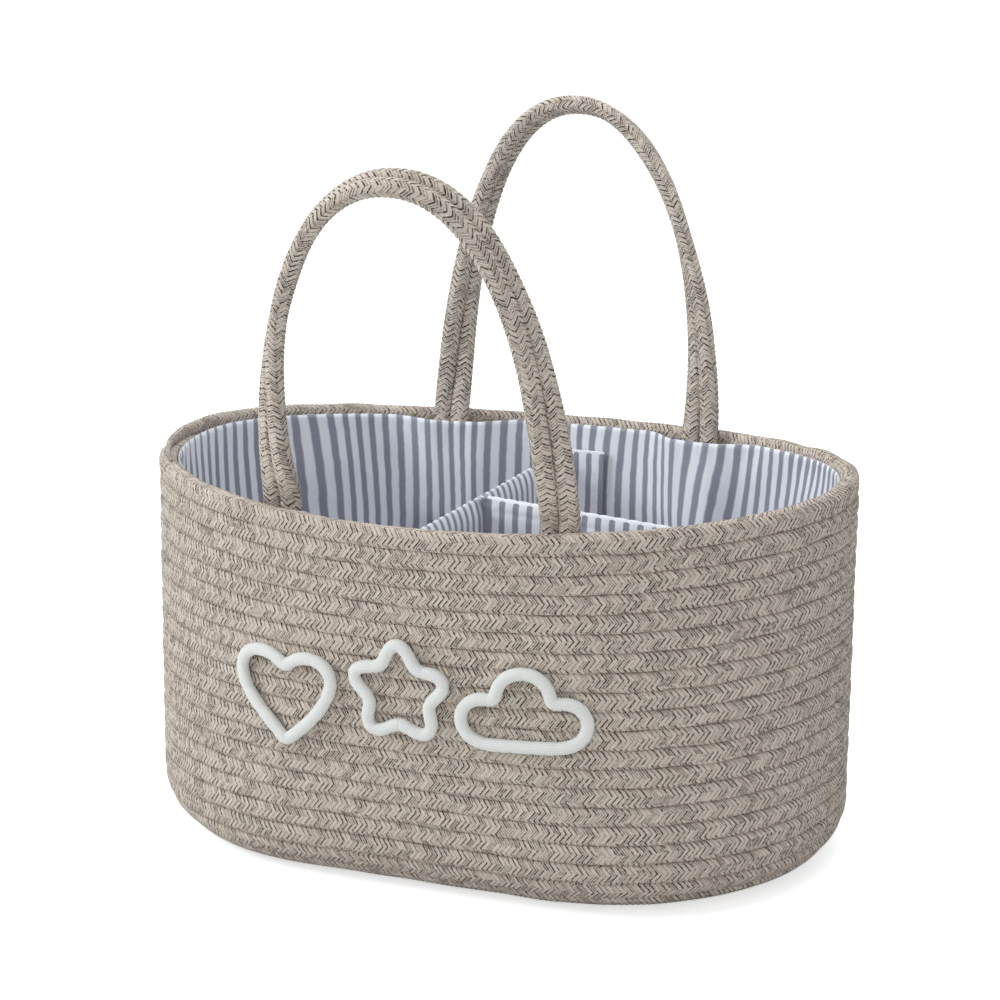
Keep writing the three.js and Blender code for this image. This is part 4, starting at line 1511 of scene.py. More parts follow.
class Lining:
    """The striped lining: a wall of cloth sewn in under the rim, and a bottom."""

    COLUMNS = 660
    ROWS = 88
    BACK_ROWS = 7
    STRIPES = 125
    WANDER = 2.2
    SWEEP = 11
    FOOT_GAP = 0.3
    BOTTOM_COLUMNS = 240
    BOTTOM_RINGS = 20
    BOTTOM_WAVE = 0.5
    BOTTOM_RIPPLES = (51, 55, 9)
    ROW_POWER = 0.9
    LIP = (0.5, 2.2)

    def __init__(self, shape: BasketShape, strap: StrapShape) -> None:
        """Takes the shapes that the lining lies on."""
        self.shape = shape
        self.face = LiningShape(shape, strap)

    def _perimeter(self, inset: float) -> tuple[Array, Array, float]:
        """Steps at an even spacing round the rim, the way round at each, and the whole way."""
        shape = self.shape
        fine = np.linspace(0, shape.turn_steps, 4801)
        walked = lengths_along(shape.inset_point(fine, shape.mean_reach, inset))
        around = np.linspace(0, walked[-1], self.COLUMNS + 1)
        return np.interp(around, walked, fine), around, float(walked[-1])

    def _wall(self) -> None:
        """Makes the wall of the lining as one closed, thin cloth."""
        shape, face = self.shape, self.face
        steps, around, whole = self._perimeter(shape.lining_face)
        steps, around = steps[:-1], around[:-1]
        top = face.top_reach(steps)
        foot = shape.flat_reach + self.FOOT_GAP
        shares = np.linspace(0, 1, self.ROWS) ** self.ROW_POWER
        reach = foot + np.multiply.outer(shares, top - foot)
        step = np.broadcast_to(steps, reach.shape)
        up = reach - foot
        way = np.broadcast_to(around, reach.shape)
        flat = shape.inset_point(step, reach, shape.lining_face)
        lean = self.WANDER * face.leaning(way, up * 0.6) * smooth_step(up, 0, 60)
        swept = smooth_step(flat[..., 0], 40, 110) - smooth_step(-flat[..., 0], 130, 165)
        lean = lean + self.SWEEP * swept * smooth_step(up, 80, 195)
        depth = face.bulge(flat) + face.wrinkles(flat, way, up, up[-1])
        roll, width = self.LIP
        lip = roll * (1 - smooth_step(top - reach, 0, width))
        inner = shape.inset_point(step, reach, shape.lining_face + depth - lip)
        back_reach = foot + np.multiply.outer(np.linspace(1, 0, self.BACK_ROWS), top - foot)
        back_step = np.broadcast_to(steps, back_reach.shape)
        back_flat = shape.inset_point(back_step, back_reach, shape.lining_inset)
        back_inset = shape.lining_inset + face.bulge(back_flat)
        back = shape.inset_point(back_step, back_reach, back_inset)
        rows = np.concatenate([inner, back])
        faces = grid_faces(len(rows), self.COLUMNS, True, True)
        finish = StripedCotton("lining_cotton", period=whole / self.STRIPES).material()
        piece = mesh_object("lining_wall_cloth", rows.reshape(-1, 3), faces, finish)
        cloth_u = np.concatenate([way + lean, np.broadcast_to(around, back_reach.shape)])
        cloth_v = np.concatenate([up - up[-1] + up[-1].mean(), back_reach - foot])
        corner = loop_vertices(piece.data)
        column = corner % self.COLUMNS
        last_column = column.reshape(-1, 4).max(axis=1).repeat(4)
        wraps = (last_column == self.COLUMNS - 1) & (column == 0)
        u = cloth_u.ravel()[corner] + np.where(wraps, whole, 0)
        v = cloth_v.ravel()[corner]
        add_uv(piece.data, "Cloth", np.stack([u * MM, v * MM], axis=1))
        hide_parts("lining_wall")
        set_on(piece, Body.BASKET)

    def _bottom(self) -> None:
        """Makes the bottom of the lining as one closed, thin cloth with a sewn edge."""
        shape = self.shape
        columns, rings = self.BOTTOM_COLUMNS, self.BOTTOM_RINGS
        steps = np.linspace(0, shape.turn_steps, columns, endpoint=False)
        shares = np.linspace(0, 1, rings + 1)[1:]
        reach = np.full(columns, shape.flat_reach - self.FOOT_GAP)
        edge = shape.inset_point(steps, reach, shape.lining_face)
        core = np.stack(
            [np.clip(edge[:, 0], -shape.core_half, shape.core_half), 0 * edge[:, 1], edge[:, 2]], 1
        )
        top = core + (edge - core) * shares[:, None, None]
        ripples = Ripples(*self.BOTTOM_RIPPLES)
        waves = self.BOTTOM_WAVE * (ripples(top[..., 0], top[..., 1]) + 1)
        top[..., 2] += waves * (1 - smooth_step(shares, 0.9, 1))[:, None]
        thickness = np.array([0, 0, shape.lining_thickness])
        rows = np.stack([core, *top, top[-1] - thickness, core - thickness])
        faces = grid_faces(len(rows), columns, False, True)
        finish = StripedCotton("lining_bottom_cotton").material()
        piece = mesh_object("lining_bottom_cloth", rows.reshape(-1, 3), faces, finish)
        merge_doubles(piece.data)
        places = corner_points(piece.data)[loop_vertices(piece.data)]
        add_uv(piece.data, "Cloth", places[:, :2])
        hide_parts("lining_bottom")
        set_on(piece, Body.BASKET)

    def build(self) -> None:
        """Makes the wall and the bottom."""
        self._wall()
        self._bottom()


@dataclass(frozen=True)
class DividerShape:
    """Where the divider's panels and tabs stand."""

    x: float = -13.5
    top: float = 180.0
    drop: float = 16.0
    tilt: float = 1.7
    board: float = 1.6
    cloth: float = 0.8
    touch_gap: float = 0.3
    half_thickness: float = 2.2
    tab_thickness: float = 1.0
    tab_width: float = 25.0
    tab_top: float = 184.5
    tab_height: float = 104.0
    strip_thickness: float = 1.0
    strip_margin: float = 4.0
    front_drop: float = 15.0

    @property
    def cover(self) -> float:
        """The thickness of a panel of the solid divider."""
        return self.board + 2 * (self.touch_gap + self.cloth)

    @property
    def beside(self) -> float:
        """From a panel's middle to the near edge of its tab."""
        return self.cover / 2 + self.touch_gap


@dataclass
class PaddedPanel:
    """A panel of the divider: a board in a padded striped cover, blown up by a simulation.

    near and far hold as many points each, up its two edges, and facing is the direction of its
    front. Its top edge is gathered, or has a narrow hem where hemmed says so.
    """

    name: str
    near: Array
    far: Array
    facing: Array
    hemmed: bool
    shape: DividerShape

    SPACING = 2.6
    FRAMES = 16
    PRESSURE = 3.0
    MOST = 1.3
    MARGIN = 3.0
    GATHERED = (1.1, 1.5)
    HEMMED = (0.4, 0.4)
    WAVE = 0.35
    RIPPLES = (61, 34, 9)
    PUFF_MEAN = 0.45
    HEM_SEAM = (0.5, 7.5, 1.3)
    SEWN_WITHIN = 0.4
    CARD_COLUMNS = 40

    @property
    def level(self) -> Array:
        """The direction across the panel."""
        return np.array([1 - abs(self.facing[0]), 1 - abs(self.facing[1]), 0])

    def _leaf(self) -> Leaf:
        """The flat cover, a little thinner than the finished one."""
        width = float(np.linalg.norm(self.far[-1] - self.near[-1]))
        height = float(lengths_along(self.near)[-1])
        half = self.shape.half_thickness
        across = edge_spaced(width, self.SPACING, half) / width
        up = edge_spaced(height, self.SPACING, half) / height

        def edge_at(points: Array) -> Array:
            """An edge's points at the rows."""
            walked = lengths_along(points)
            return interpolated(up, walked / walked[-1], points)

        near, far = edge_at(self.near), edge_at(self.far)
        middle = near[:, None] + (far - near)[:, None] * across[None, :, None]
        profile = np.outer(rounded_edge(up * height, half), rounded_edge(across * width, half))
        rise = middle[..., 2]
        if self.hemmed:
            rise = HEM_LINE - (rise[-1] - rise)
        cloth = np.stack([middle @ self.level + STRIPE_SHIFT, rise], axis=-1)
        normal = np.broadcast_to(self.facing, middle.shape)
        return Leaf(middle, normal, half * profile, cloth)

    def _blow_up(self, piece: Piece) -> None:
        """Runs the cloth simulation, with the sewn border held, and keeps its result."""
        rest = corner_points(piece.data)
        middle = (rest - rest.mean(axis=0)) @ self.facing
        held = piece.vertex_groups.new(name="sewn")
        sewn = np.flatnonzero(np.abs(middle) < self.SEWN_WITHIN * MM)
        held.add([int(vertex) for vertex in sewn], 1.0, "REPLACE")
        cloth = piece.modifiers.new("blow_up", "CLOTH")
        cloth.settings.vertex_group_mass = "sewn"
        cloth.settings.use_pressure = True
        cloth.settings.uniform_pressure_force = self.PRESSURE
        cloth.settings.effector_weights.gravity = 0
        cloth.settings.quality = 4
        cloth.settings.tension_stiffness = 12
        cloth.settings.bending_stiffness = 1.5
        cloth.point_cache.frame_end = self.FRAMES
        scene = bpy.context.scene
        for frame_number in range(1, self.FRAMES + 1):
            scene.frame_set(frame_number)
        graph = bpy.context.evaluated_depsgraph_get()
        settled = piece.evaluated_get(graph).to_mesh()
        moved = corner_points(settled) - rest
        piece.evaluated_get(graph).to_mesh_clear()
        piece.modifiers.remove(cloth)
        piece.vertex_groups.remove(held)
        scene.frame_set(1)
        far = np.linalg.norm(moved, axis=1, keepdims=True)
        limit = self.MOST * MM
        moved *= np.where(far > 0, np.tanh(far / limit) * limit / np.maximum(far, 1e-9), 0)
        piece.data.vertices.foreach_set("co", (rest + moved).astype(np.float32).ravel())
        log.info("%s blown up by at most %.2f mm", self.name, float(far.max()) / MM)

    def _pucker(self, piece: Piece) -> None:
        """Adds the gathers of the wrapped edge, and soft waves over the faces."""
        points = corner_points(piece.data) / MM
        along = points @ self.level
        ends = (self.near[-1] @ self.level, self.far[-1] @ self.level)
        top = np.interp(along, *zip(*sorted(zip(ends, (self.near[-1, 2], self.far[-1, 2])))))
        down = top - points[:, 2]
        offset = (points - self.near[0]) @ self.facing
        puff = np.abs(np.sin(math.pi * ((along + STRIPE_SHIFT) / PANEL_STRIPE - 0.5)))
        depth, lift = self.HEMMED if self.hemmed else self.GATHERED
        soft = self.WAVE * Ripples(*self.RIPPLES)(along, points[:, 2] * 0.4)
        out = depth * (puff - self.PUFF_MEAN) * (1 - smooth_step(down, 2, 13))
        out = out + soft * smooth_step(down, 4, 20)
        if self.hemmed:
            groove, place, width = self.HEM_SEAM
            out = out - groove * np.exp(-(((down - place) / width) ** 2))
        held = np.clip(np.abs(offset) / self.shape.half_thickness, 0, 1)
        points += self.facing * (np.sign(offset) * out * held)[:, None]
        points[:, 2] += lift * (puff - 0.5) * (1 - smooth_step(down, 0, 3))
        piece.data.vertices.foreach_set("co", (points * MM).astype(np.float32).ravel())

    def build(self, finish: Finish) -> None:
        """Makes the cover and sets it on the divider."""
        piece = self._leaf().piece(f"{self.name}_padded", finish)
        self._blow_up(piece)
        subdivide(piece)
        self._pucker(piece)
        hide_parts(self.name)
        set_on(piece, Body.DIVIDER)

    def card(self, node: str, finish: Finish) -> None:
        """Makes the board inside the cover, a little smaller all round.

        Args:
            node: The solid board that it replaces.
            finish: Its material.
        """
        inward = unit(self.far - self.near) * self.MARGIN
        across = np.linspace(0, 1, self.CARD_COLUMNS)
        near, far = self.near + inward, self.far - inward
        middle = near[:, None] + (far - near)[:, None] * across[None, :, None]
        foot, top = middle[..., 2].min(), middle[-1, :, 2]
        share = (middle[..., 2] - foot) / (top - foot)
        middle[..., 2] = foot + self.MARGIN + share * (top - foot - 2.2 * self.MARGIN)
        half = np.zeros(middle.shape[:2])
        half[1:-1, 1:-1] = self.shape.board / 2
        normal = np.broadcast_to(self.facing, middle.shape)
        piece = Leaf(middle, normal, half, middle[..., 1:]).piece(f"{node}_card", finish)
        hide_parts(node)
        set_on(piece, Body.DIVIDER)


def subdivide(piece: Piece) -> None:
    """Smooths a piece by one round of subdivision, which becomes its mesh."""
    modifier = piece.modifiers.new("smooth", "SUBSURF")
    modifier.levels = modifier.render_levels = 1
    graph = bpy.context.evaluated_depsgraph_get()
    mesh = bpy.data.meshes.new_from_object(piece.evaluated_get(graph), depsgraph=graph)
    piece.modifiers.remove(modifier)
    old = piece.data
    piece.data = mesh
    bpy.data.meshes.remove(old)
    mesh.shade_smooth()


@dataclass
class WallPatch:
    """A thin piece of cloth or tape along the lining, between two steps and two heights."""

    shape: BasketShape
    steps: tuple[float, float]
    low: float
    high: float
    at_back: bool

    SPACINGS = (0.9, 1.3)
    HEM_SWELL = 0.5
    HEM_SEAM = (0.35, 1.3, 0.45)
    SEED = 71
    RIPPLES = (30, 7)

    def points(self, step: Array, height: Array, inset: Array | float) -> Array:
        """Points on the wall, turned round to the back where the patch is there."""
        points = self.shape.inset_point(step, self.shape.reach_at(height), inset)
        return points * (np.array([-1.0, -1.0, 1.0]) if self.at_back else 1.0)

    def build(
        self,
        name: str,
        inset: float,
        thickness: float,
        finish: Finish,
        hem: float = 0.0,
        lift: float = 0.0,
        phase: float = 0.0,
    ) -> Piece:
        """Makes the patch.

        Args:
            name: The piece's name.
            inset: From the rope's middle line in to its back.
            thickness: From its back to its face.
            finish: Its material.
            hem: How wide a turned-over band it has along its edges, or 0.
            lift: How far its free edge waves off the wall.
            phase: How far its stripes are shifted.

        Returns:
            The patch.
        """
        height = self.high - self.low
        ends = self.points(np.array(self.steps), np.full(2, self.high), inset)
        width = float(np.linalg.norm(ends[1] - ends[0]))
        rounding = thickness / 2
        across, up = (
            edge_spaced(length, spacing, rounding)
            for length, spacing in zip((width, height), self.SPACINGS)
        )
        step = self.steps[0] + (self.steps[1] - self.steps[0]) * across / width
        step, rise = np.broadcast_arrays(step[None, :], up[:, None])
        half = thickness / 2 * np.outer(rounded_edge(up, rounding), rounded_edge(across, rounding))
        border = np.minimum(
            np.minimum(across, width - across)[None, :], np.minimum(up, height - up)[:, None]
        )
        if hem:
            band = 1 - smooth_step(border, hem - 0.4, hem + 0.3)
            groove, place, reach = self.HEM_SEAM
            seam = np.exp(-(((border - hem + place) / reach) ** 2))
            half = half * (1 + self.HEM_SWELL * band - groove * seam)
        waves = Ripples(int(self.SEED + inset * 10), *self.RIPPLES)
        wavy = lift * waves(rise, across[None, :]) * smooth_step(border, 0, 5)
        depth = inset + thickness / 2 + np.abs(wavy)
        middle = self.points(step, self.low + rise, depth)
        near = self.points(step, self.low + rise, depth - 0.2)
        normal = unit(middle - near)
        cloth = np.stack([across[None, :] + phase + 0 * rise, HEM_LINE - (height - rise)], axis=-1)
        return Leaf(middle, normal, half, cloth).piece(name, finish)


@dataclass
class StitchPath:
    """Where stitches go: their middles and the directions they run in."""

    points: Array
    along: Array


class StitchRow(NodeRecipe):
    """Puts a small raised stitch at each point of a line."""

    RADIUS = 0.3
    LEAN = 0.08
    SEED = 4

    def __init__(self) -> None:
        """Builds the tree."""
        inputs = {"Length": float, "Radius": float, "Lean": float, "Seed": int}
        super().__init__("stitch_row", inputs)
        graph, given = self.graph, self.given
        ball = graph.node("GeometryNodeMeshUVSphere", None, Segments=6, Rings=5, Radius=1.0)
        kind = {"data_type": "FLOAT_VECTOR"}
        along = graph.node("GeometryNodeInputNamedAttribute", kind, "along")
        stray = graph.node(
            "FunctionNodeRandomValue",
            kind,
            Min=(-1.0, -1.0, -1.0),
            Max=(1.0, 1.0, 1.0),
            Seed=given.output("Seed"),
        )
        heading = graph.summed(along, graph.scaled(stray, given.output("Lean")))
        turned = graph.node("FunctionNodeAlignRotationToVector", {"axis": "Z"}, Vector=heading)
        radius = given.output("Radius")
        size = graph.vector(radius, radius, given.output("Length") / 2)
        points = graph.node("GeometryNodeMeshToPoints", None, given.output("Geometry"))
        self.close(
            graph.node(
                "GeometryNodeInstanceOnPoints",
                None,
                Points=points,
                Instance=ball,
                Rotation=turned,
                Scale=size,
            )
        )

    def piece(self, name: str, paths: Sequence[StitchPath], length: float, finish: Finish) -> Piece:
        """Sews a row of stitches.

        Args:
            name: The piece's name.
            paths: Where the stitches go.
            length: The length of each.
            finish: Their material.

        Returns:
            All the stitches as one piece.
        """
        points = np.concatenate([path.points for path in paths])
        along = np.concatenate([path.along for path in paths])
        source = bpy.data.meshes.new(f"{name}_places")
        source.from_pydata((points * MM).tolist(), [], [])
        add_attribute(source, "along", along)
        values = {
            "Length": length * MM, "Radius": self.RADIUS * MM, "Lean": self.LEAN, "Seed": self.SEED
        }
        return dressed(name, self.run(source, values, finish), finish)


def stitches_on(line: Array, spacing: float) -> StitchPath:
    """Stitches at an even spacing on a line of points."""
    walked = lengths_along(line)
    count = max(int(walked[-1] / spacing), 1)
    wanted = (np.arange(count) + 0.5) * walked[-1] / count
    points, ahead, behind = (
        interpolated(wanted + shift, walked, line) for shift in (0.0, 0.5, -0.5)
    )
    return StitchPath(points, unit(ahead - behind))


@dataclass
class Divider(Assembly):
    """The lift-out divider: two padded panels, three tabs and their hook and loop strips."""

    stitches: StitchRow
    sizes: DividerShape = DividerShape()

    EDGE_ROWS = 60
    STITCH = 3.4
    STITCH_LENGTH = 2.4
    STITCH_INSET = 5.2
    TAB_HEM = 7.0
    TAB_WAVE = 0.35
    TAB_STRIPE_SHIFT = 2.6
    TACK_SIZE = (0.6, -0.45, 0.6)
    TACK_OFFSET = (3.2, -2.8, -1.2)

    def _edge(self, axis: int, value: float, top: float) -> Array:
        """Points up an edge that stands against the lining, from the floor to a height."""
        shape = self.shape
        inset = shape.panel_inset + self.sizes.half_thickness * 0.3
        foot = shape.flat_reach
        reaches = np.linspace(foot, shape.reach_at(top), self.EDGE_ROWS)
        if axis == 1:
            steps = np.full(self.EDGE_ROWS, shape.half_steps - shape.bend_steps / 2)
        else:
            steps = np.array([shape.step_where(0, value, reach, inset) for reach in reaches])
        points = shape.inset_point(steps, reaches, inset)
        points[:, axis] = value
        return points

    def _panels(self) -> None:
        """Makes the crosswise and the lengthwise panel, each with its board."""
        sizes = self.sizes
        edge = self._edge(0, sizes.x, sizes.top + sizes.tilt)
        mirrored = edge * np.array([1.0, -1.0, 1.0])
        facing = np.array([1.0, 0, 0])
        across = PaddedPanel("divider_cross_cover", edge, mirrored, facing, False, sizes)
        far = self._edge(1, 0.0, sizes.top - sizes.drop)
        near = np.zeros((self.EDGE_ROWS, 3))
        near[:, 0] = sizes.x + sizes.cover / 2 + 0.2
        near[:, 2] = np.linspace(far[0, 2], sizes.top, self.EDGE_ROWS)
        facing = np.array([0, -1.0, 0])
        lengthwise = PaddedPanel("divider_long_cover", near, far, facing, True, sizes)
        across.build(self.finishes.panel)
        lengthwise.build(self.finishes.corner_shaded_panel)
        across.card("divider_cross_board", self.finishes.board)
        lengthwise.card("divider_long_board", self.finishes.board)

    def _tab(
        self, name: str, steps: tuple[float, float], margin: float, at_back: bool, drop: float
    ) -> StitchPath:
        """Makes one tab with its strips.

        Args:
            name: Where the tab is.
            steps: Its first and last step.
            margin: The strips' margin, in steps.
            at_back: Whether it is turned round to the back.
            drop: How much lower than the others its top is.

        Returns:
            The tab's line of stitches.
        """
        shape, sizes = self.shape, self.sizes
        low, high = sizes.tab_top - sizes.tab_height, sizes.tab_top - drop
        strip_at = shape.lining_face + sizes.touch_gap
        hook_at = strip_at + sizes.strip_thickness + sizes.touch_gap
        tab_at = hook_at + sizes.strip_thickness + sizes.touch_gap
        cloth = WallPatch(shape, steps, low, high, at_back)
        tab = cloth.build(
            f"divider_{name}_tab_cloth",
            tab_at,
            sizes.tab_thickness,
            self.finishes.hemmed_panel,
            hem=self.TAB_HEM,
            lift=self.TAB_WAVE,
            phase=self.TAB_STRIPE_SHIFT,
        )
        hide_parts(f"divider_{name}_tab")
        set_on(tab, Body.DIVIDER)
        inner = (steps[0] + margin, steps[1] - margin)
        edge = sizes.strip_margin
        strip = WallPatch(shape, inner, low + edge, high - edge, at_back)
        for tape, inset, finish, body, under in (
            (Tape.HOOK, hook_at, self.finishes.hooks, Body.DIVIDER, tab.name),
            (Tape.LOOP, strip_at, self.finishes.loops, Body.BASKET, "lining_wall_cloth"),
        ):
            place = f"{name}_{tape.value}"
            piece = strip.build(f"{place}_tape", inset, sizes.strip_thickness, finish)
            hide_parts(f"{place}_strip")
            set_on(piece, body)
        face = tab_at + sizes.tab_thickness * 1.22
        inset_steps = margin * self.STITCH_INSET / edge
        left, right = steps[0] + inset_steps, steps[1] - inset_steps
        bottom, top = low + self.STITCH_INSET, high - self.STITCH_INSET
        places = [[left, bottom], [left, top], [right, top], [right, bottom], [left, bottom]]
        fine = np.concatenate([np.linspace(a, b, 60) for a, b in zip(places, places[1:])])
        return stitches_on(cloth.points(fine[:, 0], fine[:, 1], face), self.STITCH)

    def build(self) -> None:
        """Makes the divider's pieces."""
        shape, sizes = self.shape, self.sizes
        self._panels()
        reach = float(shape.reach_at(sizes.tab_top))
        inset = shape.lining_face + 3 * sizes.touch_gap + 2 * sizes.strip_thickness

        def span(axis: int, *places: float) -> tuple[float, float]:
            """The steps on the front, or round the right end, at two places."""
            first, last = (shape.step_where(axis, place, reach, inset) for place in places)
            return first, last

        near, wide = sizes.x + sizes.beside, sizes.tab_width
        spans = {
            "front": (span(0, near, near + wide), False, sizes.front_drop),
            "end": (span(1, sizes.beside, sizes.beside + wide), False, 0.0),
            "back": (span(0, -near - wide, -near), True, 0.0),
        }
        rows = []
        for name, (steps, at_back, drop) in spans.items():
            margin = (steps[1] - steps[0]) * sizes.strip_margin / wide
            rows.append(self._tab(name, steps, margin, at_back, drop))
        thread = self.stitches.piece("tab_stitches", rows, self.STITCH_LENGTH, self.finishes.thread)
        set_on(thread, Body.DIVIDER)
        self._tack()

    def _tack(self) -> None:
        """Makes the knot of thread that holds the two panels together at the top."""
        turn = np.linspace(0, 2 * math.pi, 120)
        reach = 2 + np.cos(3 * turn)
        knot = [reach * np.cos(2 * turn), reach * np.sin(2 * turn), np.sin(3 * turn)]
        points = np.stack(knot, axis=1) * self.TACK_SIZE
        points = points + np.array([self.sizes.x, 0, self.sizes.top]) + np.array(self.TACK_OFFSET)
        heading = unit(np.gradient(points, axis=0))
        out = unit(np.cross(heading, np.array([0.3, 0.2, 1.0])))
        across = unit(np.cross(out, heading))
        ones = np.ones(len(points))
        path = SweepPath(points, out, across, ones, 0 * ones)
        piece = self.sweep.piece("panel_tack", path, TACK_THREAD, self.finishes.thread)
        set_on(piece, Body.DIVIDER)


class Motifs(Assembly):
    """The white cord sewn to the front wall: a heart, a star and a cloud."""

    HEIGHT = 104.0
    SPACING = 64.0
    HEART = (27.0, 0.85, 0.32, 0.12)
    STAR = (26.0, 5, 0.2)
    STAR_DROP = 8.0
    PUFFS = ((0.0, 0.0, 13.0), (0.0, 11.0, 13.5), (20.0, -2.0, 12.0), (-20.0, -2.0, 12.0))
    CLOUD_BASE = (20.0, 14.0)
    WALL_FACE = 4.9
    SINK = 0.35
    RING = 0.8
    SOFTENINGS = 44
    WOBBLE = (0.35, 40)
    BRAID_WAVE = (0.3, 30)
    PINCH = (0.07, 13.0, 1.1)

    def _heart(self, angle: Array) -> Array:
        """The heart's outline."""
        size, first, second, third = self.HEART
        up = first * np.cos(angle) - second * np.cos(2 * angle) - third * np.cos(3 * angle)
        return size * np.stack([np.sin(angle) ** 3, up], axis=1)

    def _star(self, angle: Array) -> Array:
        """The star's outline."""
        size, arms, dip = self.STAR
        radius = size * (1 - dip * (1 - np.cos(arms * angle)))
        return np.stack([radius * np.sin(angle), radius * np.cos(angle)], axis=1)

    def _cloud(self, angle: Array) -> Array:
        """The cloud's outline: four rounds on a flat base."""
        heading = np.stack([np.sin(angle), np.cos(angle)], axis=1)
        reach = np.zeros(len(angle))
        for across, up, radius in self.PUFFS:
            along = heading @ np.array([across, up])
            beside = radius**2 - across**2 - up**2 + along**2
            found = along + np.sqrt(np.maximum(beside, 0))
            reach = np.maximum(reach, np.where(beside > 0, found, 0))
        half, drop = self.CLOUD_BASE
        down = drop / np.maximum(-heading[:, 1], 0.1)
        on_base = (heading[:, 1] < -0.2) & (np.abs(down * heading[:, 0]) <= half)
        reach = np.where(on_base, np.maximum(reach, down), reach)
        return heading * reach[:, None]

    def _cord(self, name: str, outline: Array, middle: tuple[float, float], seed: int) -> None:
        """Sews a cord along an outline.

        Args:
            name: The cord's name.
            outline: The outline's points, flat, with their first point again at the end.
            middle: Where the outline's middle is on the front wall: its x and its height.
            seed: Which random waves the cord has.
        """
        shape = self.shape
        flat = np.column_stack([outline, np.zeros(len(outline))])
        flat = respaced(flat, self.RING)[:-1, :2]
        for _ in range(self.SOFTENINGS):
            flat = (flat + 0.5 * (np.roll(flat, 1, axis=0) + np.roll(flat, -1, axis=0))) / 2
        flat = np.concatenate([flat, flat[:2]])
        depth, wavelength = self.WOBBLE
        wobble = [Ripples(seed + k, wavelength)(flat[:, 0], flat[:, 1]) for k in range(2)]
        flat = flat + depth * np.stack(wobble, axis=1)
        inset = -(self.WALL_FACE + TRIM_CORD.half_depth - self.SINK)
        reach = shape.reach_at(middle[1] + flat[:, 1])
        steps = np.array(
            [shape.step_where(0, middle[0] + x, r, inset) for x, r in zip(flat[:, 0], reach)]
        )
        points = shape.inset_point(steps, reach, inset)
        out = unit(points - shape.inset_point(steps, reach, 0.0))
        out, across = squared(out, unit(np.gradient(points, axis=0)))
        run = lengths_along(points)
        dip, pitch, width = self.PINCH
        pinch = 1 - dip * np.exp(-(((np.mod(run, pitch) - pitch / 2) / width) ** 2))
        depth, wavelength = self.BRAID_WAVE
        path = SweepPath(points, out, across, pinch, swayed((depth, seed + 2, wavelength), run))
        piece = self.sweep.piece(f"{name}_motif", path, TRIM_CORD, self.finishes.white_cord)
        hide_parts(f"{name}_cord")
        set_on(piece, Body.BASKET)

    def build(self) -> None:
        """Makes the three motifs and sets them on the basket."""
        angle = np.linspace(-math.pi, math.pi, 721)
        self._cord("heart", self._heart(angle), (-self.SPACING, self.HEIGHT), 81)
        self._cord("star", self._star(angle), (0.0, self.HEIGHT + self.STAR_DROP), 85)
        self._cord("cloud", self._cloud(angle), (self.SPACING, self.HEIGHT), 89)


def merge_doubles(mesh: Mesh) -> None:
    """Joins vertices at one place, and turns all faces out again."""
    work = bmesh.new()
    work.from_mesh(mesh)
    bmesh.ops.remove_doubles(work, verts=work.verts, dist=1e-5)
    bmesh.ops.dissolve_degenerate(work, edges=work.edges, dist=1e-6)
    bmesh.ops.recalc_face_normals(work, faces=work.faces)
    work.to_mesh(mesh)
    work.free()
    mesh.shade_smooth()


# Light, floor and camera


@dataclass(frozen=True)
class Viewpoint:
    """The camera of the photograph."""

    azimuth: float = 22.007
    elevation: float = 15.965
    distance: float = 1433.58
    target: tuple[float, float, float] = (0.0, 0.0, 110.0)
    lens: float = 96.36
    shift: tuple[float, float] = (-0.00107, 0.1239)
    roll: float = 0.22

    def build(self) -> None:
        """Makes the scene's camera."""
        azimuth, elevation = math.radians(self.azimuth), math.radians(self.elevation)
        back = Vector(
            (
                math.sin(azimuth) * math.cos(elevation),
                -math.cos(azimuth) * math.cos(elevation),
                math.sin(elevation),
            )
        )
        data = bpy.data.cameras.new("camera")
        data.lens = self.lens
        data.sensor_width = 36
        data.shift_x, data.shift_y = self.shift
        data.clip_start, data.clip_end = 0.05, 50
        camera = linked("camera", data)
        camera.location = (Vector(self.target) + back * self.distance) * MM
        turn = (-back).to_track_quat("-Z", "Y").to_matrix()
        roll = Matrix.Rotation(math.radians(self.roll), 3, "Z")
        camera.rotation_euler = (turn @ roll).to_euler()
        bpy.context.scene.camera = camera


@dataclass(frozen=True)
class Softbox:
    """One large lamp that faces the caddy."""

    name: str
    place: tuple[float, float, float]
    width: float
    power: float
    colour: Colour = (1.0, 1.0, 1.0)

    AIM = (0, 0, 0.12)

    def build(self) -> None:
        """Makes the lamp."""
        data = bpy.data.lights.new(self.name, "AREA")
        data.shape = "SQUARE"
        data.size = self.width
        data.energy = self.power
        data.color = self.colour
        lamp = linked(self.name, data)
        lamp.location = self.place
        aim = Vector(self.AIM) - Vector(self.place)
        lamp.rotation_euler = aim.to_track_quat("-Z", "Y").to_euler()


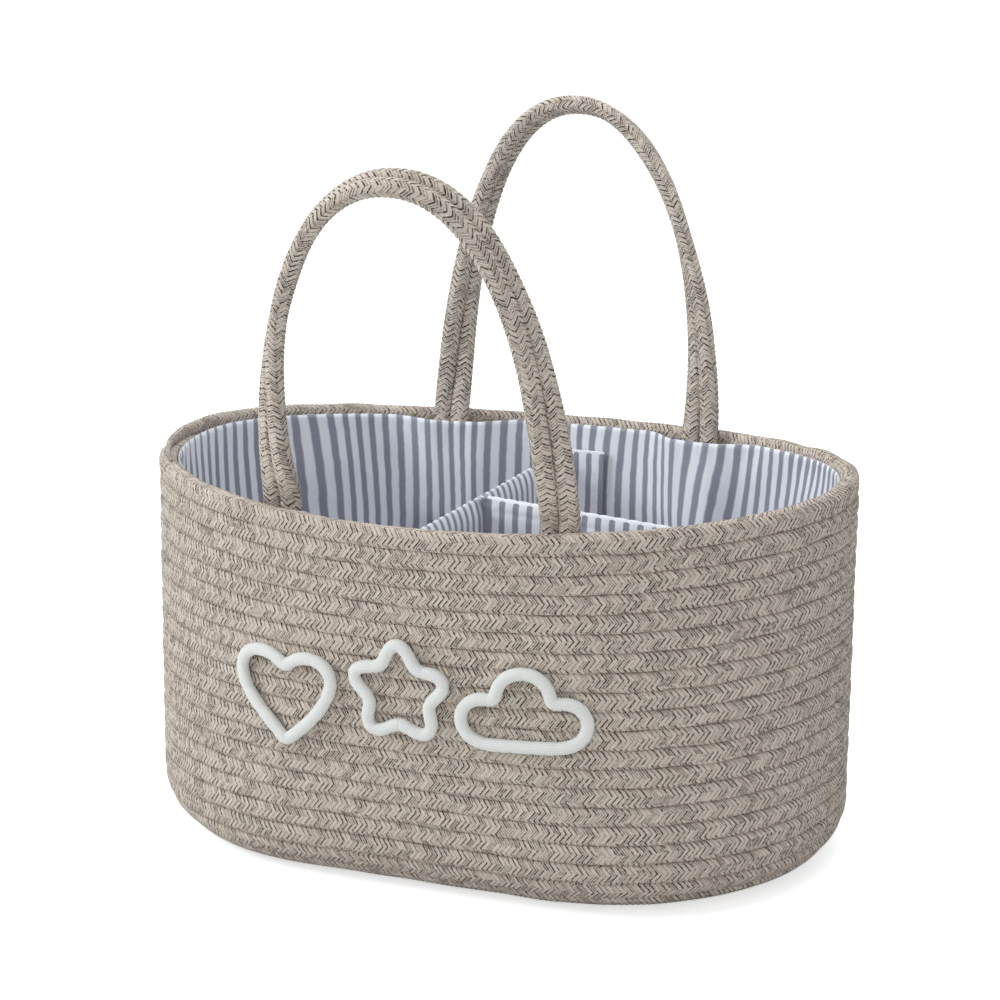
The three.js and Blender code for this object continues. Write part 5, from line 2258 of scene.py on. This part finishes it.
class Studio:
    """The pale floor, the white surroundings and the lamps."""

    SKY = (0.93, 0.96, 1.0, 1)
    SKY_STRENGTH = 0.52
    WHITE = (1, 1, 1, 1)
    FLOOR = (0.8, 0.8, 0.8, 1)
    FLOOR_GLOW = 0.62
    FLOOR_HALF = 6000.0
    LAMPS = (
        Softbox("key_lamp", (-2.1, -1.0, 1.5), 1.3, 38.0, (0.95, 0.98, 1.0)),
        Softbox("fill_lamp", (0.8, -2.3, 0.9), 1.8, 11.0, (1.0, 0.98, 0.95)),
        Softbox("top_lamp", (0.1, 0.3, 2.2), 1.6, 20.0),
    )

    def build(self) -> None:
        """Makes the floor, the world and the lamps."""
        for lamp in self.LAMPS:
            lamp.build()
        self._world()
        self._floor()

    @staticmethod
    def _seen_directly(graph: Graph) -> Signal:
        """1 on the rays that should find a white background."""
        path = graph.node("ShaderNodeLightPath")
        seen = path.output("Is Camera Ray") + path.output("Is Glossy Ray")
        return graph.least(seen + path.output("Is Transmission Ray"), 1.0)

    def _world(self) -> None:
        """Makes surroundings that look white and give a soft even light."""
        world = bpy.data.worlds.new("studio")
        bpy.context.scene.world = world
        graph = empty_graph(world)
        light = graph.node("ShaderNodeBackground", None, self.SKY, self.SKY_STRENGTH)
        white = graph.node("ShaderNodeBackground", None, self.WHITE, 1.0)
        both = graph.node("ShaderNodeMixShader", None, self._seen_directly(graph), light, white)
        graph.node("ShaderNodeOutputWorld", None, both)

    def _floor(self) -> None:
        """Makes a floor that looks white and keeps a soft shadow."""
        signs = np.array([[-1, -1, 0], [1, -1, 0], [1, 1, 0], [-1, 1, 0]])
        points = self.FLOOR_HALF * signs
        material = bpy.data.materials.new("studio_floor")
        graph = empty_graph(material)
        matte = graph.node("ShaderNodeBsdfDiffuse", None, self.FLOOR)
        strength = self._seen_directly(graph) * self.FLOOR_GLOW
        glow = graph.node("ShaderNodeEmission", None, self.WHITE, strength)
        both = graph.node("ShaderNodeAddShader", None, matte, glow)
        graph.node("ShaderNodeOutputMaterial", None, both)
        mesh = bpy.data.meshes.new("floor")
        mesh.from_pydata((points * MM).tolist(), [], [[0, 1, 2, 3]])
        mesh.materials.append(material)
        floor = linked("floor", mesh)


def corners(box: tuple[Vector, Vector]) -> list[list[float]]:
    """A box as two plain lists."""
    return [[float(part) for part in corner] for corner in box]


def main() -> None:
    """Builds the caddy and its studio."""
    logging.basicConfig(level=logging.INFO, format="%(name)s: %(message)s")
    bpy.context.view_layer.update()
    bpy.context.scene.view_settings.view_transform = "Standard"
    Viewpoint().build()
    Studio().build()
    shape = BasketShape()
    parts = (shape, RopeSweep(), Finishes())
    CoiledRope(*parts).build()
    Handle(*parts, "front", Body.FRONT_HANDLE, 22, False).build()
    Handle(*parts, "back", Body.BACK_HANDLE, 14.5, True).build()
    Lining(shape, StrapShape()).build()
    Divider(*parts, StitchRow()).build()
    Motifs(*parts).build()


if __name__ == "__main__":
    main()
